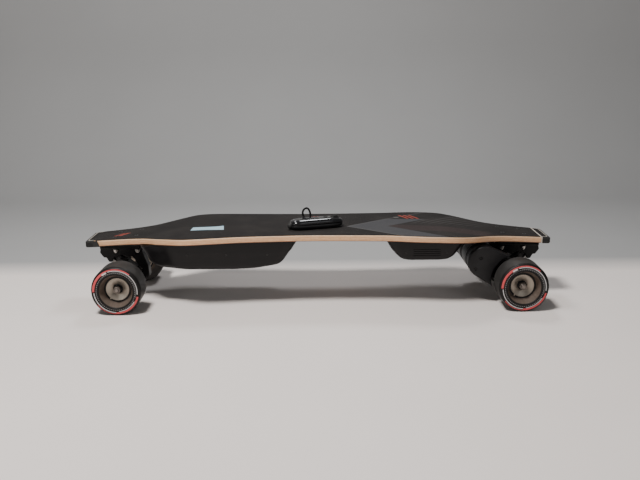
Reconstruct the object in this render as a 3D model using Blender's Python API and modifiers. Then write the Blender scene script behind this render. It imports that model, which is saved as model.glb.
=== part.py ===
"""Electric skateboard with belt drive, as an assembly of separate pieces.

Units are metres and +Z is up. The board stands on its wheels with the ground at Z = 0 and its
middle over the origin. The nose points to -X and the tail to +X, so a rider's left side is -Y.
Trucks are laid out in a frame of their own: u runs from the axle towards the nearer end of the
board, and z is the height above the ground.
"""

import math

import bmesh
import bpy
from mathutils import Matrix, Vector

# Driving dimensions of the board
BOARD_LENGTH = 0.934
NOSE_X = -BOARD_LENGTH / 2
TAIL_X = BOARD_LENGTH / 2
NOSE_AXLE_X = -0.3866
TAIL_AXLE_X = 0.3926
WHEEL_R = 0.048
WHEEL_OUTER_Y = 0.140
WHEEL_WIDTH = 0.0566
WHEEL_INNER_Y = WHEEL_OUTER_Y - WHEEL_WIDTH
AXLE_Z = WHEEL_R
DECK_THICKNESS = 0.0113
GRIP_THICKNESS = 0.0009
GAP = 0.0003
NEAR = 0.0001
BORE_OVERRUN = 0.005

# Deck outline as (x, half width) and height of its top as (distance from the middle, z)
OUTLINE = (
    (NOSE_X, 0.0398), (-0.450, 0.0414), (-0.385, 0.0495), (-0.350, 0.0590), (-0.300, 0.0915),
    (-0.259, 0.1150), (-0.244, 0.1172), (-0.140, 0.1070), (-0.010, 0.1003), (0.130, 0.1055),
    (0.212, 0.1160), (0.245, 0.1160), (0.272, 0.1105), (0.310, 0.0880), (0.353, 0.0610),
    (0.392, 0.0502), (0.450, 0.0414), (TAIL_X, 0.0398),
)
CAMBER = (
    (0.0, 0.1452), (0.130, 0.1449), (0.210, 0.1438), (0.253, 0.1423), (0.290, 0.1386),
    (0.335, 0.1331), (0.390, 0.1281), (0.467, 0.1220),
)
WOOD_NOSE_X = -0.4500
WOOD_TAIL_X = 0.4500
DECK_STATIONS = 34
BUMPER_TIP_R = 0.005
# (share of the bumper's length, share of its full height)
BUMPER_SHAPE = ((0.0, 1.0), (0.35, 1.0), (0.6, 1.0), (0.8, 0.95), (0.93, 0.85), (1.0, 0.7))

# Truck geometry in the (u, z) frame of the axle
STEER_DIR = (math.sqrt(0.5), math.sqrt(0.5))
KINGPIN_DIR = (math.sqrt(0.5), -math.sqrt(0.5))
STEER_POINT = (0.0, 0.066)
RING_DISTANCE = 0.0240
RING_R = 0.0160
RING_BORE_R = 0.0090
RING_HALF = 0.0040
BUSHING_R = 0.0120
KINGPIN_R = 0.0048
BASEPLATE_TOP_Z = 0.1085
FLANGE_THICKNESS = 0.0052
FLANGE_HALF_WIDTH = 0.029
FLANGE_INNER_U = -0.027
FLANGE_OUTER_U = 0.0562
WEB_HALF_WIDTH = 0.013
CHEEK_INNER_Y = 0.0180
CHEEK_OUTER_Y = 0.0225
# Side ribs of the baseplate in (u, z)
CHEEK_OUTLINE = (
    (-0.0200, 0.1075), (0.0550, 0.1075), (0.0570, 0.0946), (0.0498, 0.0846), (0.0446, 0.0840),
    (0.0400, 0.0752), (0.0335, 0.0750), (0.0290, 0.0850), (0.0120, 0.0900), (-0.0020, 0.0850),
    (-0.0120, 0.0900),
)
PIVOT_PIN_R = 0.0050
PIVOT_CUP_R = 0.0076
AXLE_R = 0.0040
AXLE_END_Y = 0.1330
HANGER_END_Y = 0.0930
BEAM_R = 0.0095
BEAM_NECK_R = 0.0080

# Belt drive
MOTOR_DISTANCE = 0.0762
MOTOR_ANGLE = math.radians(28.5)
MOTOR_U = -MOTOR_DISTANCE * math.cos(MOTOR_ANGLE)
MOTOR_Z = AXLE_Z + MOTOR_DISTANCE * math.sin(MOTOR_ANGLE)
MOTOR_R = 0.0310
ROTOR_WALL = 0.0023
STATOR_BASE_R = 0.0302
WINDING_R = 0.0280
WHEEL_PULLEY_R = 0.0302
MOTOR_PULLEY_R = 0.0127
BELT_THICKNESS = 0.0034
BELT_CLEARANCE = 0.0009
BELT_INNER_Y = 0.0680
BELT_OUTER_Y = 0.0790
MOUNT_INNER_Y = 0.0570
MOUNT_OUTER_Y = 0.0620
MOUNT_MOTOR_R = 0.0270
MOUNT_CLAMP_R = 0.0165
COVER_INNER_Y = 0.0623
COVER_OUTER_Y = 0.0862
COVER_SMALL_R = 0.0318
COVER_BIG_R = 0.0380
COVER_WHEEL_CLEARANCE_R = 0.0515
COVER_WALL = 0.0020
COVER_SCREWS = ((MOTOR_U - 0.0072, MOTOR_Z + 0.0084), (MOTOR_U - 0.0171, MOTOR_Z - 0.0133))
COVER_RECESS_R = 0.0032
COVER_RECESS_DEPTH = 0.0010

# Enclosures: (z, or None where it meets the deck; nose end x; tail end x; half width)
BATTERY_LEVELS = (
    (None, -0.352, -0.044, 0.088),
    (0.0030, -0.352, -0.044, 0.088),
    (0.107, -0.3440, -0.0565, 0.0866),
    (0.088, -0.3355, -0.0695, 0.0845),
    (0.082, -0.3290, -0.0765, 0.0832),
    (0.0758, -0.3140, -0.1130, 0.0808),
    (0.0732, -0.2880, -0.1500, 0.0766),
)
ESC_LEVELS = (
    (None, 0.131, 0.291, 0.086),
    (0.0030, 0.131, 0.291, 0.086),
    (0.108, 0.1455, 0.2775, 0.0840),
    (0.0965, 0.1555, 0.2690, 0.0825),
    (0.0908, 0.1630, 0.2600, 0.0803),
    (0.0885, 0.1720, 0.2500, 0.0762),
)
# Plan of each enclosure as (share of its length, share of its half width)
BATTERY_PLAN = ((0.0, 0.76), (0.04, 0.84), (0.12, 0.90), (0.20, 1.0), (0.945, 1.0), (1.0, 0.86))
ESC_PLAN = ((0.0, 0.84), (0.035, 0.95), (0.10, 1.0), (0.93, 1.0), (1.0, 0.86))
SHELL_WALL = 0.0026
BUTTON_POS = (-0.150, 0.0)
BUTTON_R = 0.0080
PORT_X = 0.215
PORT_Z = 0.1150
PORT_HOLE_R = 0.0062
PORT_CAP_R = 0.0085
PORT_CAP_STANDOFF = 0.0003
PORT_CAP_THICKNESS = 0.0022
PORT_TAB_HALF = 0.0040
PORT_TAB_REACH = 0.0105

# Handset in its own frame: x along it, thumb wheel at +x, lying on its back
HANDSET_LENGTH = 0.106
HANDSET_WIDTH = 0.036
HANDSET_HEIGHT = 0.0205
HANDSET_SPLIT = 0.0095
HANDSET_EDGE = 0.0022
HANDSET_CENTRE = (-0.004, -0.0370)
HANDSET_YAW = math.radians(18.0)
THUMB_WHEEL_X = 0.040
THUMB_WHEEL_R = 0.0078
THUMB_WHEEL_DEPTH = 0.0040
HANDSET_BUTTON_X = 0.020
HANDSET_BUTTON_R = 0.0042
BUTTON_CLEARANCE = 0.0004
LENS_X = -0.012
CORD_R = 0.0020

# Colours and finish of each material: red, green, blue, metallic, roughness
FINISHES = {
    "plywood": (0.62, 0.42, 0.25, 0.0, 0.55),
    "grip": (0.020, 0.020, 0.021, 0.0, 0.95),
    "rubber": (0.025, 0.025, 0.027, 0.0, 0.70),
    "enclosure": (0.018, 0.018, 0.019, 0.0, 0.45),
    "cells": (0.05, 0.09, 0.18, 0.0, 0.50),
    "circuit": (0.03, 0.12, 0.06, 0.0, 0.55),
    "truck_paint": (0.020, 0.020, 0.022, 0.6, 0.40),
    "steel": (0.55, 0.55, 0.55, 1.0, 0.35),
    "bushing": (0.045, 0.045, 0.050, 0.0, 0.50),
    "urethane": (0.022, 0.022, 0.024, 0.0, 0.55),
    "core": (0.62, 0.58, 0.50, 0.8, 0.45),
    "pulley": (0.30, 0.30, 0.31, 1.0, 0.40),
    "motor": (0.035, 0.035, 0.038, 0.7, 0.35),
    "handset": (0.010, 0.010, 0.011, 0.0, 0.15),
    "lens": (0.02, 0.02, 0.03, 0.0, 0.05),
    "cord": (0.012, 0.012, 0.012, 0.0, 0.85),
}


def clear_scene():
    for obj in list(bpy.data.objects):
        bpy.data.objects.remove(obj, do_unlink=True)


def new_collection(name):
    collection = bpy.data.collections.new(name)
    bpy.context.scene.collection.children.link(collection)
    return collection


def new_material(name):
    red, green, blue, metallic, roughness = FINISHES[name]
    material = bpy.data.materials.new(name)
    material.use_nodes = True
    shader = material.node_tree.nodes["Principled BSDF"]
    shader.inputs["Base Color"].default_value = (red, green, blue, 1.0)
    shader.inputs["Metallic"].default_value = metallic
    shader.inputs["Roughness"].default_value = roughness
    return material


clear_scene()
PARTS = new_collection("electric_skateboard")
CUTTERS = new_collection("cutters")
MATERIALS = {name: new_material(name) for name in FINISHES}


# General helpers


def add_object(name, mesh, material):
    """A part when it has a material, and a cutter when it has none."""
    obj = bpy.data.objects.new(name, mesh)
    if material is None:
        CUTTERS.objects.link(obj)
        obj.hide_render = True
        obj.display_type = "WIRE"
    else:
        PARTS.objects.link(obj)
        mesh.materials.append(MATERIALS[material])
    return obj


def mesh_from_bmesh(name, shape):
    bmesh.ops.recalc_face_normals(shape, faces=shape.faces)
    mesh = bpy.data.meshes.new(name)
    shape.to_mesh(mesh)
    shape.free()
    return mesh


def shade(obj, degrees=35.0):
    obj.data.shade_smooth()
    obj.data.set_sharp_from_angle(angle=math.radians(degrees))


def box(name, low, high, material, bevel=0.0):
    """A box between two corners, with its edges rounded."""
    size = [b - a for a, b in zip(low, high)]
    centre = [(a + b) / 2 for a, b in zip(low, high)]
    shape = bmesh.new()
    bmesh.ops.create_cube(shape, size=1.0)
    bmesh.ops.transform(shape, matrix=Matrix.Diagonal((*size, 1.0)), verts=shape.verts)
    bmesh.ops.translate(shape, vec=centre, verts=shape.verts)
    obj = add_object(name, mesh_from_bmesh(name, shape), material)
    if bevel:
        add_bevel(obj, bevel)
    return obj


def cylinder(name, radius, start, end, material, sides=24):
    """A cylinder, or a prism when it has few sides, from one point to another."""
    start, end = Vector(start), Vector(end)
    run = end - start
    shape = bmesh.new()
    bmesh.ops.create_cone(
        shape, cap_ends=True, segments=sides, radius1=radius, radius2=radius, depth=run.length
    )
    turn = Vector((0, 0, 1)).rotation_difference(run).to_matrix()
    bmesh.ops.rotate(shape, matrix=turn, verts=shape.verts)
    bmesh.ops.translate(shape, vec=(start + end) / 2, verts=shape.verts)
    obj = add_object(name, mesh_from_bmesh(name, shape), material)
    if material is not None:
        shade(obj)
    return obj


def turned(name, profile, closed, material, steps=24):
    """A profile of (radius, height) points turned about local Z. It runs down its outer side."""
    mesh = bpy.data.meshes.new(name)
    count = len(profile)
    edges = [(i, i + 1) for i in range(count - 1)]
    if closed:
        edges.append((count - 1, 0))
    mesh.from_pydata([(radius, 0.0, height) for radius, height in profile], edges, [])
    obj = add_object(name, mesh, material)
    screw = obj.modifiers.new("turn", "SCREW")
    screw.steps = steps
    screw.render_steps = steps
    screw.use_merge_vertices = True
    screw.merge_threshold = NEAR
    screw.use_smooth_shade = True
    return obj


def extruded(name, loops, low, high, material):
    """Closed outlines in the XZ plane, extruded along Y. Outlines after the first are holes."""
    curve = bpy.data.curves.new(name, "CURVE")
    curve.dimensions = "2D"
    curve.fill_mode = "BOTH"
    curve.extrude = (high - low) / 2
    for loop in loops:
        spline = curve.splines.new("POLY")
        spline.points.add(len(loop) - 1)
        for point, (x, z) in zip(spline.points, loop):
            point.co = (x, z, 0.0, 1.0)
        spline.use_cyclic_u = True
    holder = bpy.data.objects.new(name + "_outline", curve)
    PARTS.objects.link(holder)
    bpy.context.view_layer.update()
    graph = bpy.context.evaluated_depsgraph_get()
    mesh = bpy.data.meshes.new_from_object(holder.evaluated_get(graph))
    bpy.data.objects.remove(holder, do_unlink=True)
    shape = bmesh.new()
    shape.from_mesh(mesh)
    bmesh.ops.remove_doubles(shape, verts=shape.verts, dist=NEAR)
    upright = Matrix.Translation((0, (low + high) / 2, 0)) @ Matrix.Rotation(math.pi / 2, 4, "X")
    bmesh.ops.transform(shape, matrix=upright, verts=shape.verts)
    bpy.data.meshes.remove(mesh)
    return add_object(name, mesh_from_bmesh(name, shape), material)


def lofted(name, sections, material):
    """A solid through a row of closed sections that have the same number of points."""
    shape = bmesh.new()
    rings = [[shape.verts.new(point) for point in section] for section in sections]
    count = len(rings[0])
    for near, far in zip(rings, rings[1:]):
        for i in range(count):
            j = (i + 1) % count
            shape.faces.new((near[i], near[j], far[j], far[i]))
    shape.faces.new(rings[0])
    shape.faces.new(rings[-1])
    return add_object(name, mesh_from_bmesh(name, shape), material)


def boolean(obj, other, operation):
    modifier = obj.modifiers.new(operation.lower(), "BOOLEAN")
    modifier.object = other
    modifier.operation = operation
    modifier.solver = "EXACT"


def cut(obj, *cutters):
    for cutter in cutters:
        boolean(obj, cutter, "DIFFERENCE")


def join(obj, *others):
    for other in others:
        boolean(obj, other, "UNION")


def add_bevel(obj, width, segments=1):
    modifier = obj.modifiers.new("rounding", "BEVEL")
    modifier.width = width
    modifier.segments = segments
    modifier.limit_method = "ANGLE"


def empty(name, location, yaw=0.0):
    obj = bpy.data.objects.new(name, None)
    obj.location = location
    obj.rotation_euler = (0.0, 0.0, yaw)
    PARTS.objects.link(obj)
    return obj


def attach(parent, *children):
    for child in children:
        child.parent = parent


def arc(centre, radius, start, end, steps):
    """Points of an arc from one angle to another, both in degrees."""
    points = []
    for i in range(steps + 1):
        angle = math.radians(start + (end - start) * i / steps)
        points.append((centre[0] + radius * math.cos(angle), centre[1] + radius * math.sin(angle)))
    return points


def smooth_value(points, x):
    """Height at x of a smooth curve through (x, height) points, with no bumps of its own."""
    xs = [p[0] for p in points]
    ys = [p[1] for p in points]
    slopes = [(ys[i + 1] - ys[i]) / (xs[i + 1] - xs[i]) for i in range(len(xs) - 1)]
    tangents = [slopes[0]]
    for before, after in zip(slopes, slopes[1:]):
        same_way = before * after > 0
        tangents.append(2 * before * after / (before + after) if same_way else 0.0)
    tangents.append(slopes[-1])
    x = min(max(x, xs[0]), xs[-1])
    i = min(sum(1 for value in xs[1:-1] if value <= x), len(xs) - 2)
    run = xs[i + 1] - xs[i]
    t = (x - xs[i]) / run
    start = (1 + 2 * t) * (1 - t) ** 2 * ys[i] + t * (1 - t) ** 2 * run * tangents[i]
    end = t * t * (3 - 2 * t) * ys[i + 1] + t * t * (t - 1) * run * tangents[i + 1]
    return start + end


# Deck, grip and bumpers


def deck_half_width(x):
    return smooth_value(OUTLINE, x)


def deck_top(x):
    return smooth_value(CAMBER, abs(x))


def deck_bottom(x):
    return deck_top(x) - DECK_THICKNESS


def stations(start, end, count):
    return [start + (end - start) * i / count for i in range(count + 1)]


def slab_section(x, half, low, high, edge, lean=0.0):
    """A flat section across the deck with chamfered edges. lean moves its lower side along x."""
    return [
        (x, -half + edge, high), (x, -half, high - edge), (x + lean, -half, low + edge),
        (x + lean, -half + edge, low), (x + lean, half - edge, low), (x + lean, half, low + edge),
        (x, half, high - edge), (x, half - edge, high),
    ]


def make_deck():
    edge = 0.0015
    sections = []
    for x in stations(WOOD_NOSE_X, WOOD_TAIL_X, DECK_STATIONS):
        lean = 0.003 if x == WOOD_NOSE_X else 0.0
        sections.append(
            slab_section(x, deck_half_width(x), deck_bottom(x), deck_top(x), edge, lean)
        )
    deck = lofted("deck", sections, "plywood")
    shade(deck, 30)
    return deck


def make_grip():
    inset = 0.0012
    sections = []
    for x in stations(WOOD_NOSE_X + 0.004, WOOD_TAIL_X - 0.004, DECK_STATIONS):
        half = deck_half_width(x) - inset
        low = deck_top(x) + GAP
        high = low + GRIP_THICKNESS
        sections.append([(x, -half, high), (x, -half, low), (x, half, low), (x, half, high)])
    grip = lofted("grip_tape", sections, "grip")
    shade(grip, 30)
    return grip


def bumper_section(x, half, height_scale):
    """Section of a bumper at x, rounding in towards its tip."""
    top = deck_top(x) + 0.0008
    bottom = deck_bottom(x) - 0.0012
    middle = (top + bottom) / 2
    reach = (top - bottom) / 2 * height_scale
    return slab_section(x, half, middle - reach, middle + reach, 0.0022)


def make_bumper(name, joint_x, tip_x):
    """A block that ends the deck, its plan rounded at the tip."""
    direction = 1 if tip_x > joint_x else -1
    start = joint_x + direction * GAP
    root = abs(tip_x - start)
    sections = []
    for share, scale in BUMPER_SHAPE:
        x = start + direction * root * share
        rounding = BUMPER_TIP_R * (1 - math.sqrt(max(0.0, 1 - share**3)))
        half = deck_half_width(x) + 0.0010 - rounding * 0.9
        sections.append(bumper_section(x, half, scale))
    bumper = lofted(name, sections, "rubber")
    shade(bumper, 40)
    return bumper


# Enclosures


def enclosure_ring(plan, nose, tail, half, height_of):
    """Plan outline of an enclosure at one level."""
    corners = [(nose + (tail - nose) * along_it, half * across_it) for along_it, across_it in plan]
    near = [(x, -y) for x, y in corners]
    far = [(x, y) for x, y in reversed(corners)]
    return [(x, y, height_of(x)) for x, y in near + far]


def make_enclosure(name, levels, plan):
    """An open-topped tray under the deck, with sloping ends."""
    shape = bmesh.new()
    rings = []
    for index, (level, nose, tail, half) in enumerate(levels):
        if level is None or index == 1:
            drop = GAP if level is None else level
            ring = enclosure_ring(plan, nose, tail, half, lambda x, d=drop: deck_bottom(x) - d)
        else:
            ring = enclosure_ring(plan, nose, tail, half, lambda x, z=level: z)
        rings.append([shape.verts.new(point) for point in ring])
    count = len(rings[0])
    for upper, lower in zip(rings, rings[1:]):
        for i in range(count):
            j = (i + 1) % count
            shape.faces.new((upper[i], lower[i], lower[j], upper[j]))
    shape.faces.new(rings[-1][::-1])
    mesh = bpy.data.meshes.new(name)
    shape.to_mesh(mesh)
    shape.free()
    obj = add_object(name, mesh, "enclosure")
    shell = obj.modifiers.new("shell", "SOLIDIFY")
    shell.thickness = SHELL_WALL
    shell.offset = -1.0
    shell.use_even_offset = True
    shade(obj, 25)
    return obj


def make_power_button(enclosure):
    """A round button in the floor of the battery enclosure, pressed upwards."""
    x, y = BUTTON_POS
    floor = BATTERY_LEVELS[-1][0]
    hole = cylinder("button_hole", BUTTON_R + GAP, (x, y, floor - 0.01), (x, y, floor + 0.01), None)
    cut(enclosure, hole)
    profile = (
        (0.0, 0.0), (BUTTON_R - 0.001, 0.0), (BUTTON_R - 0.001, -0.0045), (BUTTON_R, -0.0045),
        (BUTTON_R, -0.0062), (BUTTON_R - 0.0008, -0.0070), (0.0, -0.0070),
    )
    button = turned("power_button", profile, False, "rubber")
    button.location = (x, y, floor + 0.0055)
    return button


def make_charge_port_cap(enclosure):
    """A hinged rubber cap over the charge socket in the right side wall of the rear enclosure."""
    side = ESC_LEVELS[0][3]
    hole = cylinder(
        "port_hole", PORT_HOLE_R, (PORT_X, side - 0.020, PORT_Z), (PORT_X, side + 0.02, PORT_Z), None
    )
    cut(enclosure, hole)
    cap_y = side + PORT_CAP_STANDOFF
    disc = cylinder(
        "charge_port_cap",
        PORT_CAP_R,
        (PORT_X, cap_y, PORT_Z),
        (PORT_X, cap_y + PORT_CAP_THICKNESS, PORT_Z),
        "rubber",
    )
    tab = box(
        "cap_tab",
        (PORT_X - PORT_TAB_HALF, cap_y, PORT_Z),
        (PORT_X + PORT_TAB_HALF, cap_y + PORT_CAP_THICKNESS, PORT_Z + PORT_TAB_REACH),
        None,
    )
    join(disc, tab)
    return disc


def make_battery_pack():
    return box("battery_pack", (-0.256, -0.062, 0.0825), (-0.104, 0.062, 0.1240), "cells", 0.003)


def make_controller():
    board = box("motor_controller", (0.172, -0.055, 0.0960), (0.250, 0.055, 0.1180), "circuit", 0.002)
    return board


# Trucks, in the frame of the axle: x is u, and the parent places and turns it


def along(distance, sideways, direction=STEER_DIR, across=KINGPIN_DIR, origin=STEER_POINT):
    """A (u, z) point at a distance along the steering axis and sideways along the kingpin."""
    u = origin[0] + direction[0] * distance + across[0] * sideways
    z = origin[1] + direction[1] * distance + across[1] * sideways
    return (u, z)


def on_kingpin(distance):
    """A point on the kingpin, measured from the middle of the hanger's ring."""
    u, z = along(RING_DISTANCE, distance)
    return (u, 0.0, z)


def on_steer_axis(distance):
    u, z = along(distance, 0.0)
    return (u, 0.0, z)


def riser(name, axle_x, side):
    """A wedge between the sloping deck and the level baseplate."""
    def section(u):
        x = axle_x + side * u
        top = deck_bottom(x) - GAP
        low = BASEPLATE_TOP_Z + GAP
        half = FLANGE_HALF_WIDTH
        return [(u, -half, top), (u, -half, low), (u, half, low), (u, half, top)]

    reach = (FLANGE_INNER_U, -0.01, 0.01, 0.035, FLANGE_OUTER_U)
    return lofted(name, [section(u) for u in reach], "rubber")


def baseplate(name):
    """A flange bolted to the deck, a kingpin seat and a tower that holds the pivot cup."""
    seat_upper = along(RING_DISTANCE + 0.0135, -0.0156)
    seat_lower = along(RING_DISTANCE - 0.0130, -0.0156)
    mouth_inner = along(-0.026, -0.010)
    mouth_outer = along(-0.026, 0.010)
    foot_outer = along(-0.044, 0.010)
    foot_inner = along(-0.044, -0.010)
    outline = [
        (FLANGE_INNER_U, BASEPLATE_TOP_Z - 0.001), (FLANGE_OUTER_U - 0.001, BASEPLATE_TOP_Z - 0.001),
        (FLANGE_OUTER_U + 0.0010, 0.0930), (0.0520, 0.0830), (0.0455, 0.0875), (0.0430, 0.1030),
        (seat_upper[0] + 0.002, 0.1034), seat_upper, seat_lower, (-0.0090, 0.0780), (-0.0170, 0.0650),
        mouth_inner, mouth_outer, foot_outer, foot_inner, (-0.0370, 0.0620), (-0.0266, 0.0920),
    ]
    web = extruded(name, [outline], -WEB_HALF_WIDTH, WEB_HALF_WIDTH, "truck_paint")
    cheeks = [
        extruded(f"{name}_cheek_{side}", [CHEEK_OUTLINE], *sorted((side * CHEEK_INNER_Y, side * CHEEK_OUTER_Y)), None)
        for side in (-1, 1)
    ]
    flange = box(
        name + "_flange",
        (FLANGE_INNER_U, -FLANGE_HALF_WIDTH, BASEPLATE_TOP_Z - FLANGE_THICKNESS),
        (FLANGE_OUTER_U, FLANGE_HALF_WIDTH, BASEPLATE_TOP_Z),
        None,
    )
    join(web, flange, *cheeks)
    kingpin_hole = cylinder(
        name + "_kingpin_hole", KINGPIN_R + GAP, on_kingpin(-0.0243), on_kingpin(0.0), None
    )
    cup_pocket = cylinder(
        name + "_cup_pocket", PIVOT_CUP_R + GAP, on_steer_axis(-0.0415), on_steer_axis(-0.020), None
    )
    cut(web, kingpin_hole, cup_pocket)
    return web, (flange, *cheeks, kingpin_hole, cup_pocket)


def kingpin(name):
    return cylinder(name, KINGPIN_R, on_kingpin(-0.0240), on_kingpin(0.0265), "steel", 16)


def kingpin_nut(name):
    """A hexagon nut and the cupped washer under it."""
    nut = cylinder(name, 0.0085, on_kingpin(0.0165), on_kingpin(0.0240), "steel", 6)
    washer = cylinder(
        name + "_washer", BUSHING_R + 0.0005, on_kingpin(0.0157), on_kingpin(0.0172), None
    )
    bore = cylinder(
        name + "_bore", KINGPIN_R + GAP, on_kingpin(0.010), on_kingpin(0.030), None, 16
    )
    join(nut, washer)
    cut(nut, bore)
    return nut, (washer, bore)


def bushing(name, start, end):
    body = cylinder(name, BUSHING_R, on_kingpin(start), on_kingpin(end), "bushing", 18)
    bore = cylinder(
        name + "_bore",
        KINGPIN_R + GAP,
        on_kingpin(start - BORE_OVERRUN),
        on_kingpin(end + BORE_OVERRUN),
        None,
        16,
    )
    cut(body, bore)
    return body, (bore,)


def pivot_cup(name):
    body = cylinder(
        name, PIVOT_CUP_R, on_steer_axis(-0.0412), on_steer_axis(-0.0265), "rubber", 16
    )
    bore = cylinder(
        name + "_bore", PIVOT_PIN_R + GAP, on_steer_axis(-0.0403), on_steer_axis(-0.020), None, 16
    )
    cut(body, bore)
    return body, (bore,)


def hanger(name):
    """The cast beam that carries the axle, with a ring on the kingpin and a pivot pin."""
    web_outline = [
        (0.0070, 0.0425), (0.0118, 0.0560), (0.0108, 0.0670), (0.0100, 0.0705), (0.0063, 0.0758),
        (-0.0010, 0.0700), (-0.0110, 0.0600), (-0.0150, 0.0540), (-0.0100, 0.0470), (-0.0065, 0.0430),
    ]
    web = extruded(name, [web_outline], -0.011, 0.011, "truck_paint")
    beam_profile = (
        (0.0, HANGER_END_Y), (BEAM_NECK_R, HANGER_END_Y), (BEAM_NECK_R, 0.0645), (BEAM_R, 0.0640),
        (BEAM_R, 0.0300), (BEAM_R + 0.0008, 0.0180), (BEAM_R + 0.0008, -0.0180), (BEAM_R, -0.0300),
        (BEAM_R, -0.0640), (BEAM_NECK_R, -0.0645), (BEAM_NECK_R, -HANGER_END_Y), (0.0, -HANGER_END_Y),
    )
    beam = turned(name + "_beam", beam_profile, False, None, 18)
    beam.rotation_euler = (math.pi / 2, 0.0, 0.0)
    beam.location = (0.0, 0.0, AXLE_Z)
    ring = cylinder(name + "_ring", RING_R, on_kingpin(-RING_HALF), on_kingpin(RING_HALF), None, 16)
    pin = cylinder(
        name + "_pin", PIVOT_PIN_R, on_steer_axis(-0.0400), on_steer_axis(-0.0130), None, 16
    )
    ring_bore = cylinder(
        name + "_ring_bore", RING_BORE_R, on_kingpin(-0.02), on_kingpin(0.02), None, 16
    )
    axle_bore = cylinder(
        name + "_axle_bore", AXLE_R + GAP, (0, -0.11, AXLE_Z), (0, 0.11, AXLE_Z), None, 20
    )
    join(web, beam, ring, pin)
    cut(web, ring_bore, axle_bore)
    return web, (beam, ring, pin, ring_bore, axle_bore)


def axle(name):
    return cylinder(name, AXLE_R, (0, -AXLE_END_Y, AXLE_Z), (0, AXLE_END_Y, AXLE_Z), "steel", 16)


def axle_nut(name, side):
    nut = cylinder(name, 0.0075, (0, side * 0.1244, AXLE_Z), (0, side * 0.1308, AXLE_Z), "steel", 6)
    bore = cylinder(
        name + "_bore", AXLE_R + GAP, (0, side * 0.12, AXLE_Z), (0, side * 0.14, AXLE_Z), None, 16
    )
    cut(nut, bore)
    return nut, (bore,)


def make_truck(end, axle_x, side):
    """All the pieces of one truck, parented to an empty on the axle."""
    frame = empty(end + "_truck_frame", (axle_x, 0.0, 0.0), 0.0 if side > 0 else math.pi)
    attach(frame, riser(end + "_riser", axle_x, side), kingpin(end + "_kingpin"), axle(end + "_axle"))
    pieces = [
        baseplate(end + "_baseplate"),
        kingpin_nut(end + "_kingpin_nut"),
        bushing(end + "_boardside_bushing", -0.0153, -0.0043),
        bushing(end + "_roadside_bushing", 0.0043, 0.0153),
        pivot_cup(end + "_pivot_cup"),
        hanger(end + "_hanger"),
    ]
    for hand, direction in (("left", -1), ("right", 1)):
        # A truck that is turned round by its parent has its left side on the other side of the frame
        pieces.append(axle_nut(end + "_" + hand + "_axle_nut", direction * side))
    for piece, helpers in pieces:
        attach(frame, piece, *helpers)
    return frame


# Wheels, turned about local Z, which points outwards from the board


def place_on_axle(obj, axle_x, z, hand):
    """Turns local Z to point outwards on the left (-1) or right (1) side."""
    obj.location = (axle_x, 0.0, z)
    obj.rotation_euler = (-hand * math.pi / 2, 0.0, 0.0)


def tyre(name):
    shoulder = 0.0066
    outer = WHEEL_OUTER_Y
    inner = WHEEL_INNER_Y
    top_arc = arc((WHEEL_R - shoulder, outer - shoulder), shoulder, 90, 0, 3)
    bottom_arc = arc((WHEEL_R - shoulder, inner + shoulder), shoulder, 0, -90, 3)
    profile = [(0.0325, outer)] + top_arc + bottom_arc + [
        (0.0325, inner), (0.0262, inner + 0.0130), (0.0262, outer - 0.0160)
    ]
    return turned(name, profile, True, "urethane", 36)


def wheel_core(name, driven):
    """The hub inside the tyre, with the two bearings' seats filled in round the axle."""
    rim = 0.0262 - GAP
    face = WHEEL_OUTER_Y - 0.0166
    back = 0.0990 if driven else 0.0965
    bore = AXLE_R + GAP
    profile = [
        (bore, face - 0.0006), (0.0105, face - 0.0006), (0.0112, face), (0.0223, face),
        (0.0240, face - 0.0015), (rim, face - 0.0015), (rim, back), (0.0086, back), (0.0082, 0.0955),
        (bore, 0.0955),
    ]
    return turned(name, profile, True, "core", 22)


def wheel_pulley(name):
    """A toothed-belt pulley with two flanges and a hub that reaches the wheel core."""
    bore = BEAM_NECK_R + 0.0012
    flange = WHEEL_PULLEY_R + 0.0030
    seat = WHEEL_PULLEY_R
    profile = [
        (bore, 0.0985), (0.0190, 0.0985), (0.0190, 0.0812), (flange, 0.0808), (flange, 0.0795),
        (seat, 0.0795), (seat, 0.0675), (flange, 0.0675), (flange, 0.0662), (bore, 0.0662),
    ]
    return turned(name, profile, True, "pulley", 28)


def motor_pulley(name):
    bore = AXLE_R + GAP
    flange = MOTOR_PULLEY_R + 0.0020
    seat = MOTOR_PULLEY_R
    profile = [
        (bore, 0.0808), (flange, 0.0808), (flange, 0.0795), (seat, 0.0795), (seat, 0.0675),
        (flange, 0.0675), (flange, 0.0662), (bore, 0.0662),
    ]
    return turned(name, profile, True, "pulley", 18)


def motor_rotor(name):
    """The spinning can, closed at its inner end, with the shaft that carries the pulley."""
    inside = MOTOR_R - ROTOR_WALL
    profile = [
        (0.0, 0.0800), (AXLE_R, 0.0800), (AXLE_R, 0.0105), (inside, 0.0105), (inside, 0.0505),
        (MOTOR_R, 0.0505), (MOTOR_R, 0.0075), (MOTOR_R - 0.0015, 0.0060), (0.0, 0.0060),
    ]
    return turned(name, profile, False, "motor", 24)


def motor_stator(name):
    """The fixed base and windings, bolted to the motor mount."""
    bore = AXLE_R + 0.0010
    profile = [
        (bore, 0.0567), (STATOR_BASE_R - 0.0006, 0.0567), (STATOR_BASE_R, 0.0560),
        (STATOR_BASE_R, 0.0512), (WINDING_R, 0.0512), (WINDING_R, 0.0120), (bore, 0.0120),
    ]
    return turned(name, profile, True, "motor", 24)


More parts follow.
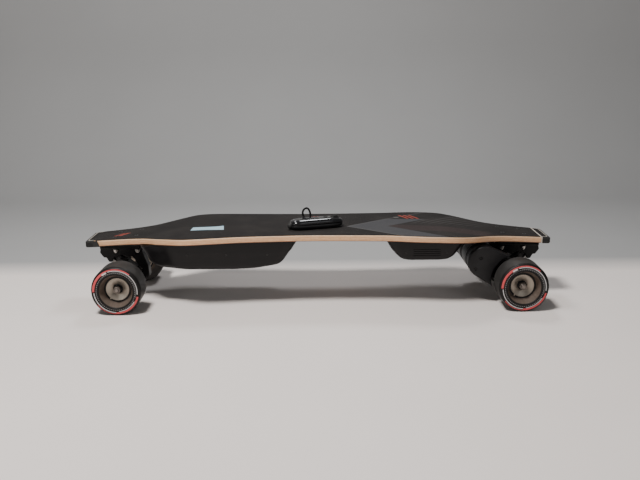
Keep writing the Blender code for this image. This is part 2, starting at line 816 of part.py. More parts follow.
def hull_of_circles(small, small_r, big, big_r, steps=10):
    """Outline round two circles and the straight lines that touch both, counterclockwise."""
    run = (big[0] - small[0], big[1] - small[1])
    distance = math.hypot(*run)
    heading = math.degrees(math.atan2(run[1], run[0]))
    lean = math.degrees(math.asin((big_r - small_r) / distance))
    outer = arc(big, big_r, heading - 90 - lean, heading + 90 + lean, steps)
    inner = arc(small, small_r, heading + 90 + lean, heading + 270 - lean, steps)
    return outer + inner


def drive_centres():
    return (MOTOR_U, MOTOR_Z), (0.0, AXLE_Z)


def motor_mount(name, hand):
    """A flat plate clamped on the hanger, with a hole for the motor's shaft."""
    small, big = drive_centres()
    low, high = sorted((hand * MOUNT_INNER_Y, hand * MOUNT_OUTER_Y))
    plate = extruded(name, [hull_of_circles(small, MOUNT_MOTOR_R, big, MOUNT_CLAMP_R)], low, high, "truck_paint")
    reach = (hand * (MOUNT_INNER_Y - 0.01), hand * (MOUNT_OUTER_Y + 0.01))
    shaft_hole = cylinder(
        name + "_shaft_hole", 0.0080, (MOTOR_U, reach[0], MOTOR_Z), (MOTOR_U, reach[1], MOTOR_Z), None
    )
    beam_hole = cylinder(
        name + "_beam_hole", BEAM_R + GAP, (0.0, reach[0], AXLE_Z), (0.0, reach[1], AXLE_Z), None
    )
    cut(plate, shaft_hole, beam_hole)
    return plate, (shaft_hole, beam_hole)


def belt(name, hand):
    """A closed loop of flat belt round both pulleys."""
    small, big = drive_centres()
    inner = hull_of_circles(
        small, MOTOR_PULLEY_R + BELT_CLEARANCE, big, WHEEL_PULLEY_R + BELT_CLEARANCE, 10
    )
    outer = hull_of_circles(
        small, MOTOR_PULLEY_R + BELT_THICKNESS, big, WHEEL_PULLEY_R + BELT_THICKNESS, 10
    )
    low, high = sorted((hand * BELT_INNER_Y, hand * BELT_OUTER_Y))
    return extruded(name, [outer, inner], low, high, "rubber")


def belt_cover(name, hand):
    """A shell over the motor pulley and belt, cut back in an arc round the tyre."""
    small, big = drive_centres()
    outline = hull_of_circles(small, COVER_SMALL_R, big, COVER_BIG_R, 12)
    low, high = sorted((hand * COVER_INNER_Y, hand * COVER_OUTER_Y))
    shell = extruded(name, [outline], low, high, "enclosure")
    hollow_outline = hull_of_circles(
        small, COVER_SMALL_R - COVER_WALL, big, COVER_BIG_R - COVER_WALL, 12
    )
    hollow_low, hollow_high = sorted(
        (hand * (COVER_INNER_Y - 0.01), hand * (COVER_OUTER_Y - COVER_WALL))
    )
    hollow = extruded(name + "_hollow", [hollow_outline], hollow_low, hollow_high, None)
    start = hand * (COVER_INNER_Y - 0.01)
    end = hand * (COVER_OUTER_Y + 0.01)
    wheel_cut = cylinder(
        name + "_wheel_cut", COVER_WHEEL_CLEARANCE_R, (0.0, start, AXLE_Z), (0.0, end, AXLE_Z), None, 48
    )
    add_bevel(shell, 0.0022, 2)
    cut(shell, hollow, wheel_cut)
    recess_floor = hand * (COVER_OUTER_Y - COVER_RECESS_DEPTH)
    recesses = []
    for index, (u, z) in enumerate(COVER_SCREWS):
        recess = cylinder(
            f"{name}_recess_{index}", COVER_RECESS_R, (u, recess_floor, z), (u, end, z), None, 12
        )
        cut(shell, recess)
        recesses.append(recess)
    return shell, (hollow, wheel_cut, *recesses)


def make_wheels():
    for end, axle_x in (("front", NOSE_AXLE_X), ("rear", TAIL_AXLE_X)):
        for hand_name, hand in (("left", -1), ("right", 1)):
            driven = end == "rear"
            tag = end + "_" + hand_name
            place_on_axle(tyre(tag + "_tyre"), axle_x, AXLE_Z, hand)
            place_on_axle(wheel_core(tag + "_wheel_core", driven), axle_x, AXLE_Z, hand)
            if driven:
                place_on_axle(wheel_pulley(hand_name + "_wheel_pulley"), axle_x, AXLE_Z, hand)


def make_drives(frame):
    """Both belt drives, on the rear truck."""
    for hand_name, hand in (("left", -1), ("right", 1)):
        motor_x = TAIL_AXLE_X + MOTOR_U
        for piece in (
            motor_rotor(hand_name + "_motor_rotor"),
            motor_stator(hand_name + "_motor_stator"),
            motor_pulley(hand_name + "_motor_pulley"),
        ):
            place_on_axle(piece, motor_x, MOTOR_Z, hand)
        attach(frame, belt(hand_name + "_belt", hand))
        for piece, helpers in (
            motor_mount(hand_name + "_motor_mount", hand),
            belt_cover(hand_name + "_belt_cover", hand),
        ):
            attach(frame, piece, *helpers)


# Handset


def handset_half(name, low, high):
    """One half shell as a solid with rounded ends. The halves meet at HANDSET_SPLIT."""
    sections = []
    shares = (-1.0, -0.97, -0.88, -0.6, 0.0, 0.6, 0.88, 0.97, 1.0)
    for share in shares:
        narrowing = math.sqrt(max(0.0, 1 - abs(share) ** 5))
        half = (HANDSET_WIDTH / 2) * (0.45 + 0.55 * narrowing)
        middle = HANDSET_SPLIT
        bottom = middle + (low - middle) * (0.55 + 0.45 * narrowing) if low < middle else low
        top = middle + (high - middle) * (0.55 + 0.45 * narrowing) if high > middle + 0.001 else high
        sections.append(slab_section(share * HANDSET_LENGTH / 2, half, bottom, top, HANDSET_EDGE))
    return lofted(name, sections, "handset")


def make_handset():
    x, y = HANDSET_CENTRE
    base = deck_top(x) + GAP + GRIP_THICKNESS + GAP
    frame = empty("handset_frame", (x, y, base), HANDSET_YAW)
    lower = handset_half("handset_lower_shell", 0.0, HANDSET_SPLIT - GAP / 2)
    upper = handset_half("handset_upper_shell", HANDSET_SPLIT + GAP / 2, HANDSET_HEIGHT)
    wheel_centre = (THUMB_WHEEL_X, 0.0, HANDSET_HEIGHT - THUMB_WHEEL_DEPTH)
    well = box(
        "thumb_wheel_well",
        (THUMB_WHEEL_X - 0.0100, -0.0060, 0.0040),
        (THUMB_WHEEL_X + 0.0100, 0.0060, 0.0300),
        None,
    )
    button_hole = cylinder(
        "handset_button_hole",
        HANDSET_BUTTON_R + BUTTON_CLEARANCE,
        (HANDSET_BUTTON_X, 0, HANDSET_HEIGHT - 0.0060),
        (HANDSET_BUTTON_X, 0, HANDSET_HEIGHT + 0.0100),
        None,
    )
    lens_pocket = box(
        "lens_pocket",
        (LENS_X - 0.0143, -0.0083, HANDSET_HEIGHT - 0.0015),
        (LENS_X + 0.0143, 0.0083, 0.0300),
        None,
    )
    cut(upper, well, button_hole, lens_pocket)
    cut(lower, well)
    wheel = cylinder(
        "thumb_wheel",
        THUMB_WHEEL_R,
        (wheel_centre[0], -0.0052, wheel_centre[2]),
        (wheel_centre[0], 0.0052, wheel_centre[2]),
        "rubber",
        24,
    )
    button = cylinder(
        "handset_button",
        HANDSET_BUTTON_R,
        (HANDSET_BUTTON_X, 0, HANDSET_HEIGHT - 0.0045),
        (HANDSET_BUTTON_X, 0, HANDSET_HEIGHT + 0.0010),
        "rubber",
        20,
    )
    lens = box(
        "display_lens",
        (LENS_X - 0.0140, -0.0080, HANDSET_HEIGHT - 0.0012),
        (LENS_X + 0.0140, 0.0080, HANDSET_HEIGHT + 0.0001),
        "lens",
    )
    attach(frame, lower, upper, wheel, button, lens, well, button_hole, lens_pocket)
    return frame


def cord_route():
    """A loop of stiff cord that stands at the handset's right side, from one end to the other."""
    route = (
        (-0.0196, -0.0200, 0.1545), (-0.0220, -0.0182, 0.1568), (-0.0270, -0.0165, 0.1620),
        (-0.0306, -0.0150, 0.1690), (-0.0303, -0.0138, 0.1756), (-0.0270, -0.0130, 0.1801),
        (-0.0230, -0.0125, 0.1815), (-0.0190, -0.0127, 0.1794), (-0.0164, -0.0133, 0.1738),
        (-0.0153, -0.0145, 0.1672), (-0.0149, -0.0164, 0.1608), (-0.0146, -0.0180, 0.1570),
        (-0.0140, -0.0190, 0.1545),
    )
    return [Vector(point) for point in route]


def through(points, per_span=3):
    """Points of a smooth curve through the given ones."""
    padded = [points[0] * 2 - points[1]] + points + [points[-1] * 2 - points[-2]]
    out = []
    for a, b, c, d in zip(padded, padded[1:], padded[2:], padded[3:]):
        for step in range(per_span):
            t = step / per_span
            out.append(
                0.5 * (2 * b + (c - a) * t + (2 * a - 5 * b + 4 * c - d) * t**2
                       + (3 * b - a - 3 * c + d) * t**3)
            )
    return out + [points[-1]]


def make_lanyard():
    curve = bpy.data.curves.new("lanyard_loop", "CURVE")
    curve.dimensions = "3D"
    curve.bevel_depth = CORD_R
    curve.bevel_resolution = 2
    curve.use_fill_caps = True
    points = through(cord_route(), 2)
    spline = curve.splines.new("POLY")
    spline.points.add(len(points) - 1)
    for target, point in zip(spline.points, points):
        target.co = (*point, 1.0)
    curve.materials.append(MATERIALS["cord"])
    cord = bpy.data.objects.new("lanyard_loop", curve)
    PARTS.objects.link(cord)
    return cord


def main():
    make_deck()
    make_grip()
    make_bumper("nose_bumper", WOOD_NOSE_X, NOSE_X)
    make_bumper("tail_bumper", WOOD_TAIL_X, TAIL_X)
    battery = make_enclosure("battery_enclosure", BATTERY_LEVELS, BATTERY_PLAN)
    esc = make_enclosure("controller_enclosure", ESC_LEVELS, ESC_PLAN)
    make_power_button(battery)
    make_charge_port_cap(esc)
    make_battery_pack()
    make_controller()
    make_truck("front", NOSE_AXLE_X, -1)
    rear = make_truck("rear", TAIL_AXLE_X, 1)
    make_wheels()
    make_drives(rear)
    make_handset()
    make_lanyard()


main()
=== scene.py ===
"""Looks of the electric skateboard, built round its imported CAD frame.

Units are metres, +Z is up, the nose points to -X and a rider's left side is -Y. A piece is designed
in a frame of its own, which its "local" attribute keeps, and a place, a matrix or a function, puts it
on the board. Materials read "local" where their pattern follows the piece.
"""

import math

import bmesh
import bpy
from mathutils import Matrix, Vector, noise


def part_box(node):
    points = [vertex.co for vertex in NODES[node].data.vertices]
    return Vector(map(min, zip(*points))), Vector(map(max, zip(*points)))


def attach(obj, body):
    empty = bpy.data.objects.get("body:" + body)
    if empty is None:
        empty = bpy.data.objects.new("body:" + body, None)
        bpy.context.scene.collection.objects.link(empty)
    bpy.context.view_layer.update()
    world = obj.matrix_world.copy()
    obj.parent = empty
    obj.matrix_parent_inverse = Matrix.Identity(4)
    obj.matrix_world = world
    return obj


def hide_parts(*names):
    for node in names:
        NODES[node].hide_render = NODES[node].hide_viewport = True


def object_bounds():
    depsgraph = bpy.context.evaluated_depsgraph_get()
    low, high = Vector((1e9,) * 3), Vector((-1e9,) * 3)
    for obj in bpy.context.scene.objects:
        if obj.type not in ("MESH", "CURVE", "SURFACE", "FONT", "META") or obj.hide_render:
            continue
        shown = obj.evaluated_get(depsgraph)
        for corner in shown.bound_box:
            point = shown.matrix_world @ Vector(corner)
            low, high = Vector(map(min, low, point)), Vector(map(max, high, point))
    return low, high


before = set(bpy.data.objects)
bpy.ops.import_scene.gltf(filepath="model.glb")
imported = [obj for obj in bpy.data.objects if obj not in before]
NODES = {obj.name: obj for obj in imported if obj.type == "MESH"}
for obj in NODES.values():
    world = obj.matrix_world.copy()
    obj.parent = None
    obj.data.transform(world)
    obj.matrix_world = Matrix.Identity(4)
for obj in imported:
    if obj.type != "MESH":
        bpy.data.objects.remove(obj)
CAD_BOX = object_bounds()

# Sizes and places of the main parts. The frame gives the places that the CAD decides
GAP = 0.0003
GRIP_LOW, GRIP_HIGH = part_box("grip_tape")
DECK_THICKNESS = 0.0113
PLY_THICKNESS = 0.0016
WOOD_END_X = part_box("deck")[1].x
GRIP_THICKNESS = 0.0009
AXLE_Z = 0.048
WHEEL_R = 0.048
FRONT_AXLE_X = sum(corner.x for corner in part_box("front_axle")) / 2
REAR_AXLE_X = sum(corner.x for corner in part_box("rear_axle")) / 2
MOTOR_X = sum(corner.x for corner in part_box("left_motor_stator")) / 2
MOTOR_Z = sum(corner.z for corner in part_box("left_motor_stator")) / 2
TYRE_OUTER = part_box("rear_right_tyre")[1].y
TYRE_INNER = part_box("rear_right_tyre")[0].y
ENDS = (("front", FRONT_AXLE_X, -1), ("rear", REAR_AXLE_X, 1))
HANDS = (("left", -1), ("right", 1))

# The camera's place and turn, in degrees, and its lens in millimetres
CAMERA_AT = (-0.0042, -1.5621, 0.4953)
CAMERA_YAW = 0.291
CAMERA_PITCH = 13.791
CAMERA_ROLL = -0.435
CAMERA_LENS = 43.97
SENSOR_WIDTH = 36.0


# Stage


def make_camera():
    """The camera of the picture."""
    turn = (
        Matrix.Rotation(math.radians(-CAMERA_YAW), 4, "Z")
        @ Matrix.Rotation(math.radians(90.0 - CAMERA_PITCH), 4, "X")
        @ Matrix.Rotation(math.radians(CAMERA_ROLL), 4, "Z")
    )
    data = bpy.data.cameras.new("camera")
    data.lens = CAMERA_LENS
    data.sensor_width = SENSOR_WIDTH
    data.sensor_fit = "HORIZONTAL"
    camera = bpy.data.objects.new("camera", data)
    camera.matrix_world = Matrix.Translation(CAMERA_AT) @ turn
    bpy.context.scene.collection.objects.link(camera)
    bpy.context.scene.camera = camera


def area_light(name, at, towards, size, watts, colour):
    data = bpy.data.lights.new(name, "AREA")
    data.shape = "DISK"
    data.size = size
    data.energy = watts
    data.color = colour
    lamp = bpy.data.objects.new(name, data)
    lamp.location = at
    lamp.rotation_euler = (Vector(towards) - Vector(at)).to_track_quat("-Z", "Y").to_euler()
    bpy.context.scene.collection.objects.link(lamp)


# (name, place, aim, size, watts, colour)
LIGHTS = (
    ("key", (-0.6, -0.85, 2.1), (0.0, 0.0, 0.1), 0.5, 64.0, (1.0, 0.975, 0.95)),
    ("fill", (1.1, -1.9, 1.3), (0.0, 0.0, 0.1), 1.2, 4.0, (0.95, 0.975, 1.0)),
    ("low", (-1.2, -1.7, 0.55), (0.0, 0.0, 0.04), 0.6, 3.5, (1.0, 0.98, 0.95)),
    ("streak", (0.1, 0.75, 1.3), (0.0, -0.04, 0.16), 0.35, 7.0, (0.96, 0.98, 1.0)),
)
ROOM_COLOUR = (0.82, 0.82, 0.83, 1.0)
ROOM_STRENGTH = 0.13


def make_lights():
    """Four lamps, and a dim even light from all round."""
    for light in LIGHTS:
        area_light(*light)
    world = bpy.data.worlds.new("soft_room")
    world.use_nodes = True
    background = world.node_tree.nodes["Background"]
    background.inputs["Color"].default_value = ROOM_COLOUR
    background.inputs["Strength"].default_value = ROOM_STRENGTH
    bpy.context.scene.world = world


def make_backdrop():
    """A pale floor that curves up into a wall behind the board."""
    front_y, wall_y, bend, top, half_width = -3.0, 1.5, 0.5, 3.0, 4.0
    shade_from, shade_to = 0.14, 0.26
    steps = 12
    section = [(front_y, 0.0)]
    for step in range(steps + 1):
        angle = math.pi / 2 * step / steps
        section.append((wall_y - bend + bend * math.sin(angle), bend - bend * math.cos(angle)))
    section.append((wall_y, top))
    shape = bmesh.new()
    rows = [[shape.verts.new((x, y, z)) for y, z in section] for x in (-half_width, half_width)]
    for i in range(len(section) - 1):
        shape.faces.new((rows[0][i], rows[1][i], rows[1][i + 1], rows[0][i + 1]))
    mesh = bpy.data.meshes.new("backdrop")
    shape.to_mesh(mesh)
    shape.free()
    mesh.shade_smooth()
    look = Look("backdrop")
    place = look.place()
    tone = look.noise(place, 3.0, 3.0)
    floor = look.mix(tone, (0.76, 0.70, 0.665), (0.82, 0.755, 0.72))
    wall = look.mix(tone, (0.33, 0.33, 0.33), (0.36, 0.36, 0.36))
    look.finish(look.mix(look.spread(look.split(place)[1], shade_from, shade_to), floor, wall), 0.75)
    mesh.materials.append(look.material)
    backdrop = bpy.data.objects.new("backdrop", mesh)
    bpy.context.scene.collection.objects.link(backdrop)


# Materials


class Look:
    """A material under construction, with a short call for each node that the looks use."""

    def __init__(self, name):
        self.material = bpy.data.materials.new(name)
        self.material.use_nodes = True
        self.tree = self.material.node_tree
        self.shader = self.tree.nodes["Principled BSDF"]

    def set(self, socket, value):
        if isinstance(value, bpy.types.NodeSocket):
            self.tree.links.new(value, socket)
        elif isinstance(value, (tuple, list)) and len(socket.default_value) == 4:
            socket.default_value = (*value, 1.0)
        else:
            socket.default_value = value

    def node(self, kind, inputs=(), **settings):
        node = self.tree.nodes.new(kind)
        for key, value in settings.items():
            setattr(node, key, value)
        for key, value in dict(inputs).items():
            self.set(node.inputs[key], value)
        return node

    def place(self):
        return self.node("ShaderNodeTexCoord").outputs["Object"]

    def local(self):
        return self.node("ShaderNodeAttribute", attribute_name="local").outputs["Vector"]

    def split(self, vector):
        return self.node("ShaderNodeSeparateXYZ", {0: vector}).outputs

    def join(self, x, y, z):
        return self.node("ShaderNodeCombineXYZ", {0: x, 1: y, 2: z}).outputs[0]

    def calc(self, operation, a, b=0.0):
        return self.node("ShaderNodeMath", {0: a, 1: b}, operation=operation).outputs[0]

    def times(self, a, b):
        return self.calc("MULTIPLY", a, b)

    # Where two masks are both 1
    both = times

    def plus(self, a, b):
        return self.calc("ADD", a, b)

    def minus(self, a, b):
        return self.calc("SUBTRACT", a, b)

    def scaled(self, vector, factors):
        node = self.node("ShaderNodeVectorMath", {0: vector, 1: factors}, operation="MULTIPLY")
        return node.outputs[0]

    def noise(self, vector, scale, detail=4.0, roughness=0.5):
        inputs = {"Vector": vector, "Scale": scale, "Detail": detail, "Roughness": roughness}
        return self.node("ShaderNodeTexNoise", inputs).outputs["Fac"]

    def cells(self, vector, scale):
        return self.node("ShaderNodeTexVoronoi", {"Vector": vector, "Scale": scale}).outputs["Distance"]

    def spread(self, value, low, high, to_low=0.0, to_high=1.0):
        inputs = {"Value": value, "From Min": low, "From Max": high}
        inputs.update({"To Min": to_low, "To Max": to_high})
        return self.node("ShaderNodeMapRange", inputs).outputs["Result"]

    def within(self, value, low, high, soft=0.0004):
        """1 where value lies between low and high, with soft edges."""
        rise = self.spread(value, low - soft, low + soft)
        fall = self.spread(value, high - soft, high + soft, 1.0, 0.0)
        return self.calc("MULTIPLY", rise, fall)

    def either(self, *masks):
        total = masks[0]
        for mask in masks[1:]:
            total = self.calc("MAXIMUM", total, mask)
        return total

    def mix(self, factor, a, b):
        node = self.node("ShaderNodeMix", data_type="RGBA")
        self.set(node.inputs["Factor"], factor)
        self.set(node.inputs[6], a)
        self.set(node.inputs[7], b)
        return node.outputs[2]

    def over(self, colour, mask, strength, paint):
        """The colour with paint over it where mask is 1, as thick as strength."""
        return self.mix(self.both(mask, strength), colour, paint)

    def bump(self, height, distance, strength):
        inputs = {"Height": height, "Distance": distance, "Strength": strength}
        return self.node("ShaderNodeBump", inputs).outputs["Normal"]

    def finish(self, colour, roughness, metallic=0.0, normal=None, **extra):
        self.set(self.shader.inputs["Base Color"], colour)
        self.set(self.shader.inputs["Roughness"], roughness)
        self.set(self.shader.inputs["Metallic"], metallic)
        if normal is not None:
            self.set(self.shader.inputs["Normal"], normal)
        for key, value in extra.items():
            self.set(self.shader.inputs[key.replace("_", " ")], value)
        return self.material


def plywood_look():
    """Maple plies seen on edge: cross plies with end grain, lighter along the top and darker along the
    bottom.
    """
    look = Look("plywood")
    x, y, z = look.split(look.local())[:]
    layers = look.times(z, 1.0 / PLY_THICKNESS)
    ply = look.calc("FLOOR", layers)
    cross = look.calc("ABSOLUTE", look.calc("MODULO", ply, 2.0))
    bands = look.noise(look.join(x, 0.0, ply), 62.0, 3.0, 0.6)
    grain = look.noise(look.join(look.times(x, 9.0), y, ply), 55.0, 6.0, 0.7)
    pores = look.noise(look.join(look.times(x, 30.0), y, look.times(z, 60.0)), 60.0, 2.0)
    tone = look.spread(look.plus(bands, look.times(grain, 0.5)), 0.45, 1.05)
    colour = look.mix(tone, (0.58, 0.30, 0.145), (0.90, 0.58, 0.33))
    colour = look.over(colour, cross, 0.34, (0.42, 0.22, 0.11))
    colour = look.over(colour, look.spread(pores, 0.55, 0.75), 0.25, (0.3, 0.15, 0.07))
    # Lighter along the top of the edge and darker along its bottom
    colour = look.over(colour, look.spread(z, -0.0016, -0.0007), 0.55, (0.86, 0.66, 0.46))
    low = look.spread(z, -DECK_THICKNESS + 0.0010, -DECK_THICKNESS + 0.0018, 1.0, 0.0)
    colour = look.over(colour, low, 0.8, (0.20, 0.070, 0.035))
    line = look.calc("ABSOLUTE", look.minus(look.calc("FRACT", layers), 0.5))
    glue = look.spread(line, 0.44, 0.49)
    colour = look.over(colour, glue, 0.45, (0.22, 0.10, 0.05))
    underside = look.spread(z, -DECK_THICKNESS - 0.00001, -DECK_THICKNESS + 0.00002, 1.0, 0.0)
    strokes = look.noise(look.scaled(look.place(), (4.0, 60.0, 1.0)), 9.0, 5.0)
    colour = look.mix(underside, colour, look.mix(strokes, (0.016, 0.015, 0.015), (0.026, 0.024, 0.023)))
    height = look.plus(look.times(glue, -0.6), look.times(grain, 0.4))
    rough = look.spread(grain, 0.3, 0.8, 0.38, 0.58)
    return look.finish(colour, rough, 0.0, look.bump(height, 0.0002, 0.5), Coat_Weight=0.15)


# The chevron's point on the grip, how far its arms lean back and how wide they are
CHEVRON_X, CHEVRON_Y = 0.057, -0.026
CHEVRON_LEAN = 1.24
CHEVRON_WIDTH = 0.083
# Where the slanted bars are measured, across the board
SLANT_Y = 0.063


def slanted_bars(look, slant, starts, width, band):
    """Bars that start at places along slant, inside a mask."""
    bars = [look.within(slant, start, start + width) for start in starts]
    return look.both(look.either(*bars), band)


def grip_graphics(look, x, y):
    """Masks of the print: a chevron, a bar behind its point, fine lines, slanted bars and a dash."""
    away = look.calc("ABSOLUTE", look.plus(y, -CHEVRON_Y))
    sweep = look.minus(look.minus(x, CHEVRON_X), look.times(away, CHEVRON_LEAN))
    behind = look.spread(sweep, CHEVRON_WIDTH, CHEVRON_WIDTH + 0.002)
    tail_end = look.spread(x, 0.285, 0.36, 1.0, 0.0)
    chevron = look.within(sweep, 0.0, CHEVRON_WIDTH, 0.0012)
    chevron = look.both(chevron, look.spread(y, 0.042, 0.044, 1.0, 0.0))
    hatch = look.calc("PINGPONG", look.plus(sweep, look.times(away, 0.25)), 0.009)
    lines = look.both(look.spread(hatch, 0.0006, 0.0014, 1.0, 0.0), look.within(sweep, 0.092, 0.24))
    lines = look.both(lines, look.spread(look.calc("ABSOLUTE", look.plus(y, 0.05)), 0.045, 0.06))
    leaning = look.plus(y, look.times(look.minus(x, 0.165), 0.10))
    bar = look.both(look.within(leaning, -0.060, -0.015, 0.001), behind)
    slant = look.plus(x, look.times(look.minus(y, SLANT_Y), 0.50))
    nose_slant = look.minus(x, look.times(look.plus(y, 0.006), 0.80))
    nose = look.either(look.within(nose_slant, -0.407, -0.403), look.within(nose_slant, -0.398, -0.392))
    return {
        "chevron": chevron,
        "rim": look.either(look.within(sweep, 0.001, 0.0045), look.both(lines, tail_end)),
        "bar": look.both(bar, look.spread(x, 0.33, 0.35, 1.0, 0.0)),
        "inner": look.both(behind, tail_end),
        "red": look.either(
            slanted_bars(look, slant, (0.179, 0.190, 0.201), 0.0044, look.within(y, 0.047, 0.080)),
            look.both(nose, look.within(y, -0.016, 0.004)),
            slanted_bars(look, slant, (-0.014, -0.0065, 0.001), 0.0035, look.within(y, 0.042, 0.071)),
        ),
        "pale": look.both(look.within(slant, 0.158, 0.168), look.within(y, 0.0555, 0.0605)),
    }


def grip_look():
    """Black grit on foam, with faded print and dusty, trodden patches."""
    look = Look("grip")
    place = look.place()
    x, y, _ = look.split(place)[:]
    grit = look.cells(place, 1500.0)
    speckle = look.noise(place, 2600.0, 2.0, 0.8)
    dust_and_painted_light = look.noise(place, 14.0, 6.0, 0.65)
    masks = grip_graphics(look, x, y)
    colour = look.mix(speckle, (0.0095, 0.0085, 0.0082), (0.0235, 0.0205, 0.0198))
    prints = (
        ("inner", 0.45, (0.018, 0.0155, 0.0150), (0.036, 0.031, 0.030)),
        ("chevron", 0.9, (0.040, 0.040, 0.043), (0.072, 0.072, 0.077)),
        ("bar", 0.85, (0.026, 0.0185, 0.0180), (0.046, 0.034, 0.033)),
    )
    for mask, strength, dark, light in prints:
        colour = look.over(colour, masks[mask], strength, look.mix(speckle, dark, light))
    colour = look.over(colour, masks["rim"], 0.55, (0.135, 0.132, 0.128))
    red = look.mix(speckle, (0.34, 0.045, 0.030), (0.46, 0.085, 0.055))
    colour = look.over(colour, masks["red"], 0.85, red)
    colour = look.over(colour, masks["pale"], 0.8, (0.20, 0.19, 0.18))
    colour = look.over(colour, look.spread(dust_and_painted_light, 0.42, 0.75), 0.10, (0.14, 0.13, 0.12))
    flecks = look.spread(look.noise(place, 420.0, 1.0), 0.74, 0.78)
    colour = look.over(colour, flecks, 0.25, (0.30, 0.29, 0.27))
    height = look.plus(look.times(grit, -1.0), look.times(speckle, 0.6))
    rough = look.spread(dust_and_painted_light, 0.2, 0.8, 0.80, 0.95)
    return look.finish(colour, rough, 0.0, look.bump(height, 0.00035, 0.7), Specular_IOR_Level=0.15)


def moulded_look(name, dark, light, rough=(0.35, 0.55), texture=0.00004, dusty=0.10):
    """Moulded plastic or rubber: fine texture, uneven sheen, a little dust and a few scuffs."""
    look = Look(name)
    place = look.place()
    grain = look.noise(place, 900.0, 3.0, 0.6)
    cloud = look.noise(place, 22.0, 5.0, 0.6)
    scuff = look.noise(look.scaled(place, (12.0, 60.0, 90.0)), 4.0, 6.0, 0.7)
    colour = look.mix(cloud, dark, light)
    colour = look.over(colour, look.spread(cloud, 0.5, 0.85), dusty, (0.22, 0.21, 0.20))
    colour = look.over(colour, look.spread(scuff, 0.66, 0.74), 0.10, (0.20, 0.20, 0.20))
    sheen = look.spread(look.plus(cloud, look.times(grain, 0.3)), 0.4, 0.9, *rough)
    return look.finish(colour, sheen, 0.0, look.bump(grain, texture, 0.6), Specular_IOR_Level=0.25)


def paint_look():
    """Satin black paint over cast metal, thin where it has been knocked."""
    look = Look("truck_paint")
    place = look.place()
    cast = look.noise(place, 320.0, 4.0, 0.6)
    wear = look.noise(place, 70.0, 8.0, 0.75)
    bare = look.spread(wear, 0.70, 0.74)
    colour = look.mix(look.noise(place, 30.0, 4.0), (0.0022, 0.0021, 0.0024), (0.0065, 0.0063, 0.0068))
    colour = look.over(colour, bare, 0.35, (0.16, 0.16, 0.165))
    rough = look.spread(cast, 0.3, 0.7, 0.32, 0.48)
    metallic = look.spread(bare, 0.0, 1.0, 0.0, 0.8)
    return look.finish(colour, rough, metallic, look.bump(cast, 0.00012, 0.5), Specular_IOR_Level=0.2)


def metal_look(name, dark, light, rough=(0.22, 0.42), brushed=(1.0, 1.0, 1.0), metallic=1.0):
    """Machined or plated metal with fine marks along one direction and faint stains."""
    look = Look(name)
    marks = look.noise(look.scaled(look.local(), brushed), 900.0, 3.0, 0.7)
    stain = look.noise(look.place(), 120.0, 5.0, 0.65)
    colour = look.mix(look.plus(look.times(marks, 0.45), look.times(stain, 0.55)), dark, light)
    colour = look.over(colour, look.spread(stain, 0.62, 0.8), 0.4, (0.12, 0.10, 0.08))
    return look.finish(colour, look.spread(marks, 0.3, 0.7, *rough), metallic, look.bump(marks, 0.00003, 0.5))


# The print on a tyre's outer face: (start angle, end angle, inner radius, outer radius)
RED_ARCS = (
    (125, 180, 0.0402, 0.0443), (50, 126, 0.0424, 0.0443),
    (-92, -14, 0.0408, 0.0443), (215, 270, 0.0432, 0.0446),
)
WHITE_ARCS = ((-8, 108, 0.0404, 0.0418), (183, 268, 0.0404, 0.0419), (-84, -30, 0.0390, 0.0401))
PILL_ARC = (112, 126, 0.0388, 0.0421)
DASHED_ARC = (-20, 100, 0.0380, 0.0387)


